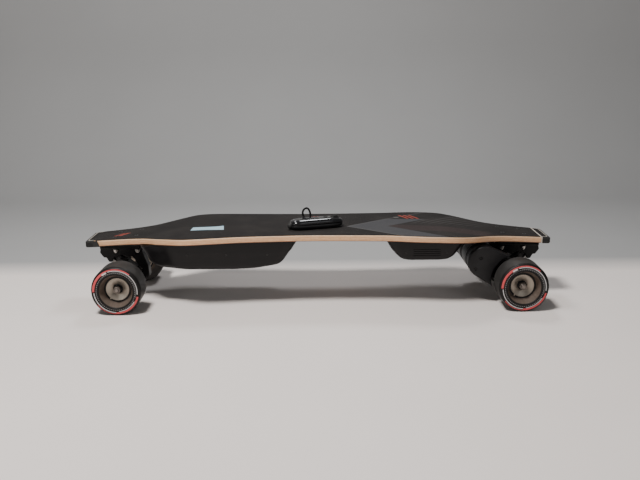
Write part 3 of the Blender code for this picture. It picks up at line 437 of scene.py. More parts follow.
def tyre_look():
    """Smooth urethane, dusty on the tread, with a printed ring on its outer face."""
    look = Look("tyre")
    local = look.local()
    x, y, z = look.split(local)[:]
    radius = look.calc("SQRT", look.plus(look.times(x, x), look.times(y, y)))
    angle = look.times(look.calc("ARCTAN2", y, x), 180.0 / math.pi)
    cloud = look.noise(look.place(), 40.0, 6.0, 0.65)
    fine = look.noise(local, 1100.0, 3.0, 0.6)
    colour = look.mix(cloud, (0.0055, 0.0050, 0.0050), (0.0125, 0.0115, 0.0110))
    rim = look.spread(radius, WHEEL_R - 0.004, WHEEL_R - 0.001)
    tread = look.both(rim, look.spread(z, TYRE_OUTER - 0.006, TYRE_OUTER - 0.009))
    colour = look.over(colour, tread, look.spread(cloud, 0.3, 0.8, 0.08, 0.30), (0.13, 0.125, 0.12))
    drawn = look.join(look.times(angle, 0.012), 0.0, look.times(radius, 12.0))
    streaks = look.noise(drawn, 9.0, 5.0, 0.7)
    recess = look.mix(streaks, (0.060, 0.044, 0.035), (0.150, 0.116, 0.094))
    colour = look.mix(look.spread(radius, 0.0322, 0.0318), colour, recess)
    # Painted light: a paler grey over the inner face stands in for the lit grey seen on the far wheel's inner
    # face.
    inner_face = look.spread(z, TYRE_INNER + 0.0040, TYRE_INNER + 0.0030)
    dust_and_painted_light = look.mix(cloud, (0.075, 0.070, 0.066), (0.14, 0.13, 0.125))
    colour = look.over(colour, inner_face, 0.75, dust_and_painted_light)

    def arc(start, end, inner, outer):
        """Mask of a printed arc between two angles in degrees and two radii."""
        span = look.calc("MODULO", look.plus(angle, 720.0 - start), 360.0)
        return look.both(look.within(span, 0.0, end - start, 0.8), look.within(radius, inner, outer, 0.00018))

    ticks = look.spread(look.calc("PINGPONG", angle, 3.0), 1.3, 1.7)
    fine_ticks = look.spread(look.calc("PINGPONG", angle, 1.6), 0.7, 0.9)
    dashed = look.both(ticks, look.within(radius, 0.0362, 0.0371, 0.0001))
    dashed = look.either(dashed, look.both(fine_ticks, arc(*DASHED_ARC)))
    face = look.spread(z, TYRE_OUTER - 0.0040, TYRE_OUTER - 0.0030)
    worn = look.spread(look.noise(local, 500.0, 4.0, 0.7), 0.25, 0.42)
    prints = (
        (look.either(*[arc(*spot) for spot in RED_ARCS]), worn, (0.60, 0.085, 0.090)),
        (look.either(*[arc(*spot) for spot in WHITE_ARCS]), worn, (0.56, 0.55, 0.55)),
        (arc(*PILL_ARC), 0.9, (0.66, 0.58, 0.57)),
        (dashed, 0.7, (0.42, 0.41, 0.41)),
    )
    for mask, strength, paint in prints:
        colour = look.over(colour, look.both(mask, face), strength, paint)
    sheen = look.spread(cloud, 0.3, 0.8, 0.38, 0.62)
    return look.finish(colour, sheen, 0.0, look.bump(fine, 0.00005, 0.6), Specular_IOR_Level=0.2)


def gloss_look():
    """Black gloss plastic with hairline scratches and finger marks."""
    look = Look("handset_gloss")
    place = look.place()
    smear = look.noise(place, 55.0, 5.0, 0.6)
    hair = look.noise(look.scaled(place, (400.0, 30.0, 30.0)), 12.0, 4.0, 0.8)
    colour = look.mix(smear, (0.0055, 0.0055, 0.006), (0.011, 0.011, 0.012))
    scratches = look.times(look.spread(hair, 0.6, 0.7), 0.08)
    rough = look.plus(look.spread(smear, 0.35, 0.75, 0.08, 0.20), scratches)
    coat = {"Specular_IOR_Level": 0.3, "Coat_Weight": 0.5, "Coat_Roughness": 0.05}
    return look.finish(colour, rough, 0.0, look.bump(hair, 0.000012, 0.35), **coat)


def braid_look():
    """Braided cord: fine strands over a woven relief."""
    look = Look("braid")
    place = look.place()
    strands = look.noise(place, 2400.0, 2.0, 0.5)
    weave = look.cells(place, 1300.0)
    colour = look.mix(strands, (0.004, 0.004, 0.004), (0.014, 0.014, 0.015))
    relief = look.bump(look.plus(strands, weave), 0.0003, 0.8)
    return look.finish(colour, 0.8, 0.0, relief, Specular_IOR_Level=0.1)


def paper_look():
    """A blank pale blue paper label, faintly fibrous and unevenly soiled."""
    look = Look("label_paper")
    place = look.place()
    fibre = look.noise(place, 1800.0, 4.0, 0.7)
    stain = look.noise(place, 60.0, 5.0, 0.6)
    colour = look.mix(stain, (0.25, 0.40, 0.48), (0.37, 0.53, 0.61))
    colour = look.mix(look.times(fibre, 0.2), colour, (0.52, 0.64, 0.69))
    return look.finish(colour, 0.8, 0.0, look.bump(fibre, 0.00005, 0.6))


def board_look():
    """Green circuit board with pale pads."""
    look = Look("circuit")
    place = look.place()
    pads = look.cells(place, 260.0)
    colour = look.mix(look.noise(place, 90.0, 3.0), (0.012, 0.085, 0.035), (0.02, 0.13, 0.06))
    colour = look.mix(look.spread(pads, 0.18, 0.16), colour, (0.55, 0.45, 0.25))
    return look.finish(colour, 0.35, 0.0, look.bump(pads, 0.0003, 0.5))


def copper_look():
    """Enamelled copper windings."""
    look = Look("windings")
    turns = look.calc("PINGPONG", look.split(look.local())[2], 0.0005)
    shade = look.noise(look.place(), 200.0, 3.0)
    colour = look.mix(shade, (0.30, 0.085, 0.030), (0.48, 0.17, 0.06))
    return look.finish(colour, 0.3, 0.85, look.bump(turns, 0.0004, 0.9))


# Shapes. Each call adds a closed solid to a bmesh that new_shape() made


def new_shape():
    shape = bmesh.new()
    shape.verts.layers.float_vector.new("local")
    return shape


def put(shape, point, place):
    """A vertex that keeps its own frame's coordinates. place is a matrix, a function or None."""
    point = Vector(point)
    if place is None:
        target = point
    elif callable(place):
        target = place(point)
    else:
        target = place @ point
    vertex = shape.verts.new(target)
    vertex[shape.verts.layers.float_vector["local"]] = point
    return vertex


def loft(shape, sections, place=None, ring=False, slot=0):
    """A solid through closed sections with as many points each. ring joins the last to the first."""
    rows = [[put(shape, point, place) for point in section] for section in sections]
    pairs = list(zip(rows, rows[1:]))
    if ring:
        pairs.append((rows[-1], rows[0]))
    count = len(rows[0])
    faces = []
    for near, far in pairs:
        for i in range(count):
            j = (i + 1) % count
            faces.append(shape.faces.new((near[i], near[j], far[j], far[i])))
    if not ring:
        faces.append(shape.faces.new(rows[0][::-1]))
        faces.append(shape.faces.new(rows[-1]))
    for face in faces:
        face.material_index = slot
        face.smooth = True


def rectangle(near_x, far_x, near_y, far_y):
    return [(near_x, near_y), (far_x, near_y), (far_x, far_y), (near_x, far_y)]


def upright(shape, plan, low, high, place):
    """A solid with one plan between two heights."""
    loft(shape, [[(x, y, low) for x, y in plan], [(x, y, high) for x, y in plan]], place)


def groove(surface, bottom, middle, mouth, root=0.0003):
    """A groove's section, from its upper lip to its lower one."""
    upper = [(surface, middle + mouth), (bottom, middle + root)]
    return upper + [(bottom, middle - root), (surface, middle - mouth)]


def hex_radius(radius, angle):
    """Distance from a hexagon's middle to its side, where radius is to its corner."""
    turn = angle % (math.pi / 3) - math.pi / 6
    return radius * math.cos(math.pi / 6) / math.cos(turn)


def stack(shape, levels, place=None, sides=32, slot=0):
    """A solid of (radius, height) levels along local Z. A third value of "hex" makes one six-sided."""
    sections = []
    for level in levels:
        radius, height = level[:2]
        section = []
        for step in range(sides):
            angle = math.tau * step / sides
            reach = hex_radius(radius, angle) if len(level) > 2 else radius
            section.append((reach * math.cos(angle), reach * math.sin(angle), height))
        sections.append(section)
    loft(shape, sections, place, slot=slot)


def rod(shape, radius, low, high, place, sides=32, slot=0):
    """A plain cylinder between two heights along local Z."""
    stack(shape, [(radius, low), (radius, high)], place, sides, slot)


def turn(shape, profile, place=None, steps=64, slot=0):
    """A closed profile of (radius, height) points turned about local Z."""
    sections = []
    for step in range(steps):
        angle = math.tau * step / steps
        cosine, sine = math.cos(angle), math.sin(angle)
        sections.append([(radius * cosine, radius * sine, height) for radius, height in profile])
    loft(shape, sections, place, ring=True, slot=slot)


def around(count):
    """Evenly spaced turns about local Z."""
    return [Matrix.Rotation(math.tau * step / count, 4, "Z") for step in range(count)]


def ring_spots(radius, count, offset=0.0):
    """(x, y) of evenly spaced places on a circle. offset is a share of the space between two."""
    angles = [math.tau * (step + offset) / count for step in range(count)]
    return [(radius * math.cos(angle), radius * math.sin(angle)) for angle in angles]


def rounded(points, radius, steps=4, closed=True):
    """Points with each corner drawn as a curve that starts and ends radius away from it."""
    points = [Vector(point) for point in points]
    out = []
    count = len(points)
    for i, corner in enumerate(points):
        if not closed and i in (0, count - 1):
            out.append(corner)
            continue
        before = points[i - 1] - corner
        after = points[(i + 1) % count] - corner
        start = corner + before * min(0.45, radius / max(before.length, 1e-9))
        end = corner + after * min(0.45, radius / max(after.length, 1e-9))
        for step in range(steps + 1):
            t = step / steps
            out.append(start * (1 - t) ** 2 + corner * 2 * t * (1 - t) + end * t * t)
    return out


def slab(shape, outline, low, high, edge, place=None, slot=0, steps=3):
    """An outline, a function of the inset, between two heights with rounded edges."""
    sections = []
    for step in range(steps + 1):
        angle = math.pi / 2 * step / steps
        inset = edge * (1 - math.sin(angle))
        sections.append([(x, y, low + edge * (1 - math.cos(angle))) for x, y in outline(inset)])
    for step in range(steps + 1):
        angle = math.pi / 2 * step / steps
        inset = edge * (1 - math.cos(angle))
        sections.append([(x, y, high - edge * (1 - math.sin(angle))) for x, y in outline(inset)])
    loft(shape, sections, place, slot=slot)


def block(shape, low, high, edge, corner, place=None, slot=0):
    """A box with rounded edges, and with rounded corners seen along local Z."""

    def outline(inset):
        corners = rectangle(low[0] + inset, high[0] - inset, low[1] + inset, high[1] - inset)
        return [point[:2] for point in rounded([(*c, 0.0) for c in corners], max(corner - inset, 0.0001))]

    slab(shape, outline, low[2], high[2], edge, place, slot)


def aimed(at, towards):
    """Puts local Z along towards, at a point."""
    return Matrix.Translation(at) @ Vector(towards).to_track_quat("Z", "Y").to_matrix().to_4x4()


def piece(name, shape, looks, body, replaces=(), crease=38.0):
    """Finishes a shape: an object with its looks, riding on a body, in place of CAD nodes."""
    bmesh.ops.recalc_face_normals(shape, faces=shape.faces)
    mesh = bpy.data.meshes.new(name)
    shape.to_mesh(mesh)
    shape.free()
    mesh.set_sharp_from_angle(angle=math.radians(crease))
    for look in looks:
        mesh.materials.append(look)
    obj = bpy.data.objects.new(name, mesh)
    bpy.context.scene.collection.objects.link(obj)
    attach(obj, body)
    if replaces:
        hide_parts(*replaces)
    return obj


def carve(obj, cutters, crease=38.0):
    """Cuts closed shapes out of an object's mesh."""
    for cutter in cutters:
        bmesh.ops.recalc_face_normals(cutter, faces=cutter.faces)
        mesh = bpy.data.meshes.new("cutter")
        cutter.to_mesh(mesh)
        cutter.free()
        tool = bpy.data.objects.new("cutter", mesh)
        bpy.context.scene.collection.objects.link(tool)
        cut = obj.modifiers.new("carve", "BOOLEAN")
        cut.operation = "DIFFERENCE"
        cut.solver = "EXACT"
        cut.object = tool
        carved = bpy.data.meshes.new_from_object(obj.evaluated_get(bpy.context.evaluated_depsgraph_get()))
        obj.modifiers.clear()
        obj.data = carved
        bpy.data.objects.remove(tool)
    obj.data.set_sharp_from_angle(angle=math.radians(crease))


def cast(name, shape, look, body, slot, replaces, voxel, passes=6):
    """A casting: overlapping solids fused into one skin whose edges and corners are softened."""
    obj = piece(name, shape, [look], body, replaces, 180.0)
    fuse = obj.modifiers.new("fuse", "REMESH")
    fuse.mode = "VOXEL"
    fuse.voxel_size = voxel
    fuse.use_smooth_shade = True
    soften = obj.modifiers.new("soften", "SMOOTH")
    soften.factor = 0.5
    soften.iterations = passes
    return obj


# Fasteners


def socket_screw(shape, place, radius=0.0038, height=0.0036, slot=0):
    """A button head with a hexagon socket, its base at the place."""
    socket = radius * 0.52
    levels = (
        (radius, -0.001), (radius, height * 0.35), (radius * 0.93, height * 0.72), (radius * 0.74, height),
        (socket * 1.08, height), (socket, height * 0.97, "hex"), (socket, height * 0.3, "hex"),
    )
    stack(shape, levels, place, 36, slot)


def flat_screw(shape, place, radius=0.0036, slot=0):
    """A countersunk head with a hexagon socket, flush with the face at the place."""
    socket = radius * 0.45
    levels = (
        (radius * 0.6, -0.0022), (radius, -0.0002), (radius, 0.0002), (radius * 0.94, 0.0004),
        (socket * 1.1, 0.0003), (socket, 0.0001, "hex"), (socket, -0.0015, "hex"),
    )
    stack(shape, levels, place, 36, slot)


def hex_nut(shape, place, radius, height, bore, slot=0):
    """A chamfered nut with a nylon ring and an open bore."""
    levels = (
        (radius * 0.9, 0.0), (radius, height * 0.10, "hex"), (radius, height * 0.62, "hex"),
        (radius * 0.88, height * 0.72), (radius * 0.80, height * 0.94), (radius * 0.72, height),
        (bore * 1.15, height), (bore, height * 0.92), (bore, height * 0.3),
    )
    stack(shape, levels, place, 36, slot)


# Deck


def smooth_value(points, x):
    """Height at x of a smooth curve through (x, height) points, carried on straight past its ends."""
    xs = [p[0] for p in points]
    ys = [p[1] for p in points]
    slopes = [(ys[i + 1] - ys[i]) / (xs[i + 1] - xs[i]) for i in range(len(xs) - 1)]
    if x <= xs[0]:
        return ys[0] + slopes[0] * (x - xs[0])
    if x >= xs[-1]:
        return ys[-1] + slopes[-1] * (x - xs[-1])
    i = min(sum(1 for value in xs[1:-1] if value <= x), len(xs) - 2)
    before = slopes[max(i - 1, 0)]
    after = slopes[min(i + 1, len(slopes) - 1)]
    start_slope = (before + slopes[i]) / 2
    end_slope = (slopes[i] + after) / 2
    run = xs[i + 1] - xs[i]
    t = (x - xs[i]) / run
    start = (1 + 2 * t) * (1 - t) ** 2 * ys[i] + t * (1 - t) ** 2 * run * start_slope
    end = t * t * (3 - 2 * t) * ys[i + 1] + t * t * (t - 1) * run * end_slope
    return start + end


def deck_stations():
    """(x, half width) and (x, height of the wood's top) along the CAD grip."""
    halves, tops = {}, {}
    for vertex in NODES["grip_tape"].data.vertices:
        x = round(vertex.co.x, 4)
        halves[x] = max(halves.get(x, 0.0), abs(vertex.co.y))
        tops[x] = min(tops.get(x, 1.0), vertex.co.z)
    inset = 0.0012
    return (
        [(x, halves[x] + inset) for x in sorted(halves)],
        [(x, tops[x] - GAP) for x in sorted(tops)],
    )


HALF_WIDTHS, WOOD_TOPS = deck_stations()


def deck_half(x):
    return smooth_value(HALF_WIDTHS, x)


def deck_top(x):
    return smooth_value(WOOD_TOPS, x)


def on_deck(point):
    """Bends a flat frame, whose Z is the height above the wood's top, along the deck's arch."""
    return Vector((point.x, point.y, deck_top(point.x) + point.z))


def spaced(start, end, count):
    return [start + (end - start) * i / count for i in range(count + 1)]


def edge_section(x, half, low, high, radius, steps=4):
    """A flat section across the board with rounded edges."""
    section = []
    corners = ((-1, high, 90.0), (-1, low, 180.0), (1, low, 270.0), (1, high, 0.0))
    for side, level, start in corners:
        centre_y = side * (half - radius)
        centre_z = level + radius if level == low else level - radius
        for step in range(steps + 1):
            angle = math.radians(start + 90.0 * step / steps)
            section.append((x, centre_y + radius * math.cos(angle), centre_z + radius * math.sin(angle)))
    return section


def make_deck(look):
    """The plywood board."""
    shape = new_shape()
    edge = 0.0013
    sections = []
    for x in spaced(-WOOD_END_X, WOOD_END_X, 150):
        sections.append(edge_section(x, deck_half(x), -DECK_THICKNESS, 0.0, edge))
    loft(shape, sections, on_deck)
    piece("deck_plywood", shape, [look], "board", ["deck"], 60.0)


def make_grip(look):
    """The grip sheet, bent along the deck."""
    shape = new_shape()
    sections = []
    for x in spaced(GRIP_LOW.x, GRIP_HIGH.x, 150):
        half = deck_half(x) - 0.0016
        sections.append(edge_section(x, half, GAP, GAP + GRIP_THICKNESS, 0.0004, 2))
    loft(shape, sections, on_deck)
    piece("grip_sheet", shape, [look], "board", ["grip_tape"], 60.0)


BUMPER_OVERHANG = 0.0010
BUMPER_CORNER = 0.0060
NOSE_GROOVES = (-0.0030, -0.0057, -0.0084)
TAIL_GROOVES = (-0.0052,)


def bumper_path(end, inset=0.0):
    """Points along a bumper's outside in plan, from its left joint round the tip to its right one."""
    joint = WOOD_END_X + GAP
    tip = CAD_BOX[1][0] - inset
    half = deck_half(end * joint) + BUMPER_OVERHANG - inset
    corner = (tip, half * 0.97)
    points = [Vector((joint, -half, 0)), Vector((corner[0], -corner[1], 0))]
    points += [Vector((corner[0], corner[1], 0)), Vector((joint, half, 0))]
    return [Vector((end * p.x, p.y, 0)) for p in rounded(points, BUMPER_CORNER, 14, False)]


def bumper_profile(grooves):
    """(inset, height) points from the top over the outside to the bottom, with grooves in the side."""
    top, bottom = 0.0009, -DECK_THICKNESS - 0.0012
    depth, mouth = 0.0010, 0.0007
    profile = [(0.0060, top), (0.0022, top), (0.0008, top - 0.0006), (0.0, top - 0.0020)]
    for middle in grooves:
        profile += groove(0.0, depth, middle, mouth)
    profile += [(0.0, bottom + 0.0030), (0.0012, bottom + 0.0008), (0.0035, bottom), (0.0080, bottom)]
    return profile


def add_bumper_cheeks(shape):
    """Thin slanted ends of the nose bumper that run back along the wood's edge."""
    start = -WOOD_END_X - GAP
    top, bottom = 0.0004, -DECK_THICKNESS - 0.0006
    side_view = ((start, top), (start + 0.0085, top), (start + 0.0130, bottom), (start, bottom))
    for side in (-1, 1):
        rows = []
        for reach in (0.0002, 0.0012):
            rows.append([(x, side * (deck_half(x) + reach), height) for x, height in side_view])
        loft(shape, rows, on_deck)


def make_bumper_line(name, end, look):
    """Painted highlight: a pale line round the pad along the bumper's rim, and on the tail a pale bar across
    the joint that runs down its sides, along the seam.
    """
    low, high = 0.0007, 0.0013
    shape = new_shape()
    sections = []
    for outer, inner in zip(bumper_path(end, 0.0050), bumper_path(end, 0.0062)):
        sections.append([(*outer[:2], low), (*inner[:2], low), (*inner[:2], high), (*outer[:2], high)])
    loft(shape, sections, on_deck)
    if end > 0:
        joint = WOOD_END_X - 0.0030
        width, half = 0.0022, deck_half(joint)
        upright(shape, rectangle(joint, joint + width, -half, half), 0.0002, high, on_deck)
        for side in (-1, 1):
            start = joint + 0.0004
            strip = rectangle(start, start + width, side * half, side * (half + 0.0004))
            upright(shape, strip, -DECK_THICKNESS, 0.0010, on_deck)
    piece(name + "_line", shape, [look], "board")


def make_bumper_pad(name, end, look):
    """A sheet of grit inside the line, level with the grip."""
    path = [(point.x, point.y) for point in bumper_path(end, 0.0063)]
    start = end * (WOOD_END_X - (0.0042 if end < 0 else 0.0006))
    outline = [(start, path[0][1])] + path + [(start, path[-1][1])]
    shape = new_shape()
    upright(shape, outline, 0.0005, GAP + GRIP_THICKNESS, on_deck)
    piece(name + "_pad", shape, [look], "board", (), 60.0)


def make_bumper(name, end, rubber, pad, line):
    """A rubber bumper with grooves round its side, a grit pad on top and a pale line round the pad, a painted
    highlight on its rim.
    """
    shape = new_shape()
    profile = bumper_profile(NOSE_GROOVES if end < 0 else TAIL_GROOVES)
    paths = {inset: bumper_path(end, inset) for inset, _ in profile}
    rows = []
    for i in range(len(paths[0.0])):
        rows.append([put(shape, (*paths[inset][i][:2], height), on_deck) for inset, height in profile])
    for near, far in zip(rows, rows[1:]):
        for a, b, c, d in zip(near, near[1:], far[1:], far):
            shape.faces.new((a, b, c, d)).smooth = True
    shape.faces.new([row[0] for row in rows])
    shape.faces.new([row[-1] for row in rows])
    shape.faces.new(rows[0] + rows[-1][::-1])
    if end < 0:
        add_bumper_cheeks(shape)
    piece(name + "_rubber", shape, [rubber], "board", [name])
    make_bumper_line(name, end, line)
    make_bumper_pad(name, end, pad)


# The label's corners in plan, in order round it. The third one lifts
LABEL_CORNERS = ((-0.255, -0.041), (-0.188, -0.045), (-0.191, -0.017), (-0.2535, -0.015))
LABEL_THICKNESS = 0.00018
LABEL_LIFT_FROM = 1.55


def make_label(look):
    """A blank paper label stuck on the grip, with one corner lifting."""
    corners = [Vector((*corner, 0)) for corner in LABEL_CORNERS]
    rows, columns = 10, 14
    shape = new_shape()
    sections = []
    for i in range(rows + 1):
        v = i / rows
        top, bottom = [], []
        for j in range(columns + 1):
            u = j / columns
            point = corners[0].lerp(corners[1], u).lerp(corners[3].lerp(corners[2], u), v)
            ripple = 0.00015 * noise.noise(point * 60)
            lift = 0.0016 * max(0.0, u + v - LABEL_LIFT_FROM) ** 2 / 0.2 + ripple
            base = GAP + GRIP_THICKNESS + 0.0003 + max(0.0, lift)
            top.append((point.x, point.y, base + LABEL_THICKNESS))
            bottom.append((point.x, point.y, base))
        sections.append(top + bottom[::-1])
    loft(shape, sections, on_deck)
    piece("paper_label", shape, [look], "board", (), 60.0)


# Enclosures

# (height, or None for one measured from the deck; nose end x; tail end x; half width)
BATTERY_LEVELS = (
    (None, -0.352, -0.0395, 0.0880), (0.107, -0.3440, -0.0565, 0.0866), (0.088, -0.3355, -0.0695, 0.0845),
    (0.082, -0.3290, -0.0765, 0.0832), (0.0758, -0.3140, -0.1130, 0.0808), (0.0732, -0.2880, -0.1500, 0.0766),
)
CONTROLLER_LEVELS = (
    (None, 0.131, 0.291, 0.0860), (0.108, 0.1455, 0.2775, 0.0840), (0.0965, 0.1555, 0.2690, 0.0825),
    (0.0908, 0.1630, 0.2600, 0.0803), (0.0885, 0.1720, 0.2500, 0.0762),
)
# (share of the length, share of the half width)
BATTERY_PLAN = ((0.0, 0.76), (0.04, 0.84), (0.12, 0.90), (0.20, 1.0), (0.945, 1.0), (1.0, 0.86))
CONTROLLER_PLAN = ((0.0, 0.84), (0.035, 0.95), (0.10, 1.0), (0.93, 1.0), (1.0, 0.86))


def enclosure_top(levels):
    """Mean height of an enclosure's upper end, close under the deck."""
    _, nose, tail, _ = levels[0]
    return (deck_top(nose) + deck_top(tail)) / 2 - DECK_THICKNESS - 0.0040


def enclosure_outline(plan, nose, tail, half):
    """Plan of an enclosure at one level, with its corners rounded."""
    corners = [(nose + (tail - nose) * share, half * width) for share, width in plan]
    near = [(x, -y, 0.0) for x, y in corners]
    far = [(x, y, 0.0) for x, y in reversed(corners)]
    return [(p.x, p.y) for p in rounded(near + far, 0.011, 5)]


def level_rows(levels):
    """The levels as (z, nose, tail, half) vectors, with the bends between them rounded."""
    deck_side = levels[0]
    rows = [Vector((enclosure_top(levels), *deck_side[1:]))] + [Vector(level) for level in levels[1:]]
    out = []
    for i, row in enumerate(rows):
        if i in (0, len(rows) - 1):
            out.append(row)
            continue
        start, end = row.lerp(rows[i - 1], 0.20), row.lerp(rows[i + 1], 0.20)
        for step in range(4):
            t = step / 3
            out.append(start * (1 - t) ** 2 + row * 2 * t * (1 - t) + end * t * t)
    return out


WALL = 0.0024
# (drop from the deck, how far it stands out) down the flange
FLANGE_STEPS = ((0.0, 0.0), (0.0018, 0.0), (0.0024, -0.0006), (0.0030, -0.0012), (0.0036, -0.0012))


def make_enclosure(name, levels, plan, look, holes):
    """A moulded tray with a flange under the deck, soft bends and its holes."""
    _, nose, tail, half = levels[0]
    outer = []
    for drop, grow in FLANGE_STEPS:
        outline = enclosure_outline(plan, nose - grow, tail + grow, half + grow)
        outer.append([(x, y, deck_top(x) - DECK_THICKNESS - GAP - drop) for x, y in outline])
    outline = enclosure_outline(plan, nose + WALL, tail - WALL, half - WALL)
    inner = [[(x, y, deck_top(x) - DECK_THICKNESS - GAP) for x, y in outline]]
    for z, row_nose, row_tail, row_half in level_rows(levels)[1:]:
        outer.append([(x, y, z) for x, y in enclosure_outline(plan, row_nose, row_tail, row_half)])
        outline = enclosure_outline(plan, row_nose + WALL, row_tail - WALL, row_half - WALL)
        inner.append([(x, y, z + WALL) for x, y in outline])
    shape = new_shape()
    loft(shape, outer[::-1] + inner)
    shell = piece(name + "_shell", shape, [look], "board", [name], 30.0)
    carve(shell, holes, 30.0)


def wall_half(levels, z):
    """Half width of an enclosure's side wall at a height."""
    rows = [(enclosure_top(levels), levels[0][3])] + [(level[0], level[3]) for level in levels[1:]]
    for (high, wide), (low, narrow) in zip(rows, rows[1:]):
        if z >= low:
            return narrow + (wide - narrow) * (z - low) / (high - low)
    return rows[-1][1]


SCREW_Z = 0.1045
SIDE_SCREWS = ((BATTERY_LEVELS, (-0.257, -0.180, -0.100)), (CONTROLLER_LEVELS, (0.172, 0.252)))


def make_enclosure_screws(steel):
    """Small countersunk screws in the side walls of both enclosures."""
    shape = new_shape()
    for levels, places in SIDE_SCREWS:
        for x in places:
            for side in (-1, 1):
                at = (x, side * (wall_half(levels, SCREW_Z) + 0.0001), SCREW_Z)
                flat_screw(shape, aimed(at, (0.0, side, -0.10)), 0.0020)
    piece("enclosure_screws", shape, [steel], "board")


def make_cooling_ribs(look):
    """Long shallow ribs on both sides of the controller's enclosure."""
    start, end, half_height, half_depth = 0.186, 0.240, 0.0007, 0.0014
    shape = new_shape()
    for side in (-1, 1):
        for index in range(4):
            z = 0.0985 + 0.0042 * index
            y = side * (wall_half(CONTROLLER_LEVELS, z) - 0.0006)
            low, high = (start, y - half_depth, z - half_height), (end, y + half_depth, z + half_height)
            block(shape, low, high, 0.0005, 0.0012)
    piece("cooling_ribs", shape, [look], "board")


# Trucks. Their frame has x = u, from the axle towards the nearer end of the board

STEER_POINT = (0.0, 0.066)
ROOT_HALF = math.sqrt(0.5)
RING_DISTANCE = 0.0240
KINGPIN_R = 0.0048
FLANGE_LOW = 0.1033
FLANGE_HIGH = 0.1085
FLANGE_U = (-0.0270, 0.0562)
FLANGE_HALF = 0.029
BOLT_SPOTS = tuple((u, y) for u in (-0.0200, 0.0240) for y in (-0.0255, 0.0255))


def steer_frame(distance, sideways=0.0):
    """(u, z) at a distance along the steering axis and sideways along the kingpin."""
    return (
        STEER_POINT[0] + ROOT_HALF * (distance + sideways),
        STEER_POINT[1] + ROOT_HALF * (distance - sideways),
    )


def kingpin_place(truck, distance):
    """Local Z along the kingpin, away from the board."""
    u, z = steer_frame(RING_DISTANCE, distance)
    return truck @ aimed((u, 0.0, z), (ROOT_HALF, 0.0, -ROOT_HALF))


def steer_place(truck, distance):
    """Local Z along the steering axis, towards the board."""
    u, z = steer_frame(distance)
    return truck @ aimed((u, 0.0, z), (ROOT_HALF, 0.0, ROOT_HALF))


def sideways(truck, hand=-1):
    """Local XY becomes the truck's (u, z) plane, and local Z runs outwards on one side."""
    return truck @ Matrix(((1, 0, 0, 0), (0, 0, hand, 0), (0, 1, 0, 0), (0, 0, 0, 1)))


def prism(shape, outline, half, place):
    """An outline in local XY, and half of its thickness on either side."""
    upright(shape, outline, -half, half, place)


# Side ribs of the baseplate in (u, z)
CHEEK = (
    (-0.0200, 0.1060), (0.0552, 0.1060), (0.0572, 0.0946), (0.0500, 0.0846), (0.0446, 0.0840),
    (0.0400, 0.0752), (0.0335, 0.0750), (0.0290, 0.0850), (0.0120, 0.0900), (-0.0020, 0.0850),
    (-0.0120, 0.0900),
)


def make_baseplate(end, truck, paint):
    """A cast plate with a kingpin seat, side ribs and the tower that holds the pivot."""
    shape = new_shape()
    seat_upper = steer_frame(RING_DISTANCE + 0.0135, -0.0156)
    seat_lower = steer_frame(RING_DISTANCE - 0.0130, -0.0156)
    mouth = [steer_frame(-0.026, side) for side in (-0.010, 0.010)]
    foot = [steer_frame(-0.044, side) for side in (0.010, -0.010)]
    outline = [
        (FLANGE_U[0] + 0.002, 0.1060), (FLANGE_U[1] - 0.002, 0.1060), (FLANGE_U[1] + 0.0008, 0.0930),
        (0.0510, 0.0850), (0.0455, 0.0875), (0.0430, 0.1030), (seat_upper[0] + 0.002, 0.1034),
        seat_upper, seat_lower, (-0.0090, 0.0780), (-0.0170, 0.0650), *mouth, *foot,
        (-0.0370, 0.0620), (-0.0266, 0.0920),
    ]
    prism(shape, outline, 0.0110, sideways(truck))
    block(
        shape, (FLANGE_U[0], -FLANGE_HALF, FLANGE_LOW), (FLANGE_U[1], FLANGE_HALF, FLANGE_HIGH),
        0.0010, 0.0060, truck,
    )
    tower = [(0.0120, -0.0420), (0.0128, -0.0405), (0.0118, -0.0262), (0.0108, -0.0256)]
    stack(shape, tower, steer_place(truck, 0.0))
    for side in (-1, 1):
        prism(shape, CHEEK, 0.00225, sideways(truck) @ Matrix.Translation((0, 0, side * 0.02025)))
    for u, y in BOLT_SPOTS:
        boss = [(0.0040, FLANGE_LOW - 0.0008), (0.0044, FLANGE_LOW + 0.0010)]
        stack(shape, boss, truck @ Matrix.Translation((u, y, 0)))
    cast(end + "_baseplate_casting", shape, paint, "board", "truck", [end + "_baseplate"], 0.00075)


# The hanger's web in (u, z), its beam's (radius, y) on one side, and its ring's and pin's (radius, distance)
HANGER_WEB = (
    (0.0070, 0.0425), (0.0118, 0.0560), (0.0108, 0.0670), (0.0100, 0.0705), (0.0063, 0.0758),
    (-0.0010, 0.0700), (-0.0110, 0.0600), (-0.0150, 0.0540), (-0.0100, 0.0470), (-0.0065, 0.0430),
)
HANGER_BEAM = (
    (0.0072, -0.0931), (0.0080, -0.0925), (0.0080, -0.0650),
    (0.0092, -0.0640), (0.0095, -0.0420), (0.0101, -0.0200),
)
HANGER_RING = (
    (0.0160, -0.0033), (0.0160, 0.0033), (0.0153, 0.0040), (0.0096, 0.0040),
    (0.0090, 0.0034), (0.0090, -0.0034), (0.0096, -0.0040), (0.0153, -0.0040),
)
HANGER_PIN = ((0.0044, -0.0400), (0.0050, -0.0390), (0.0050, -0.0200), (0.0078, -0.0130))


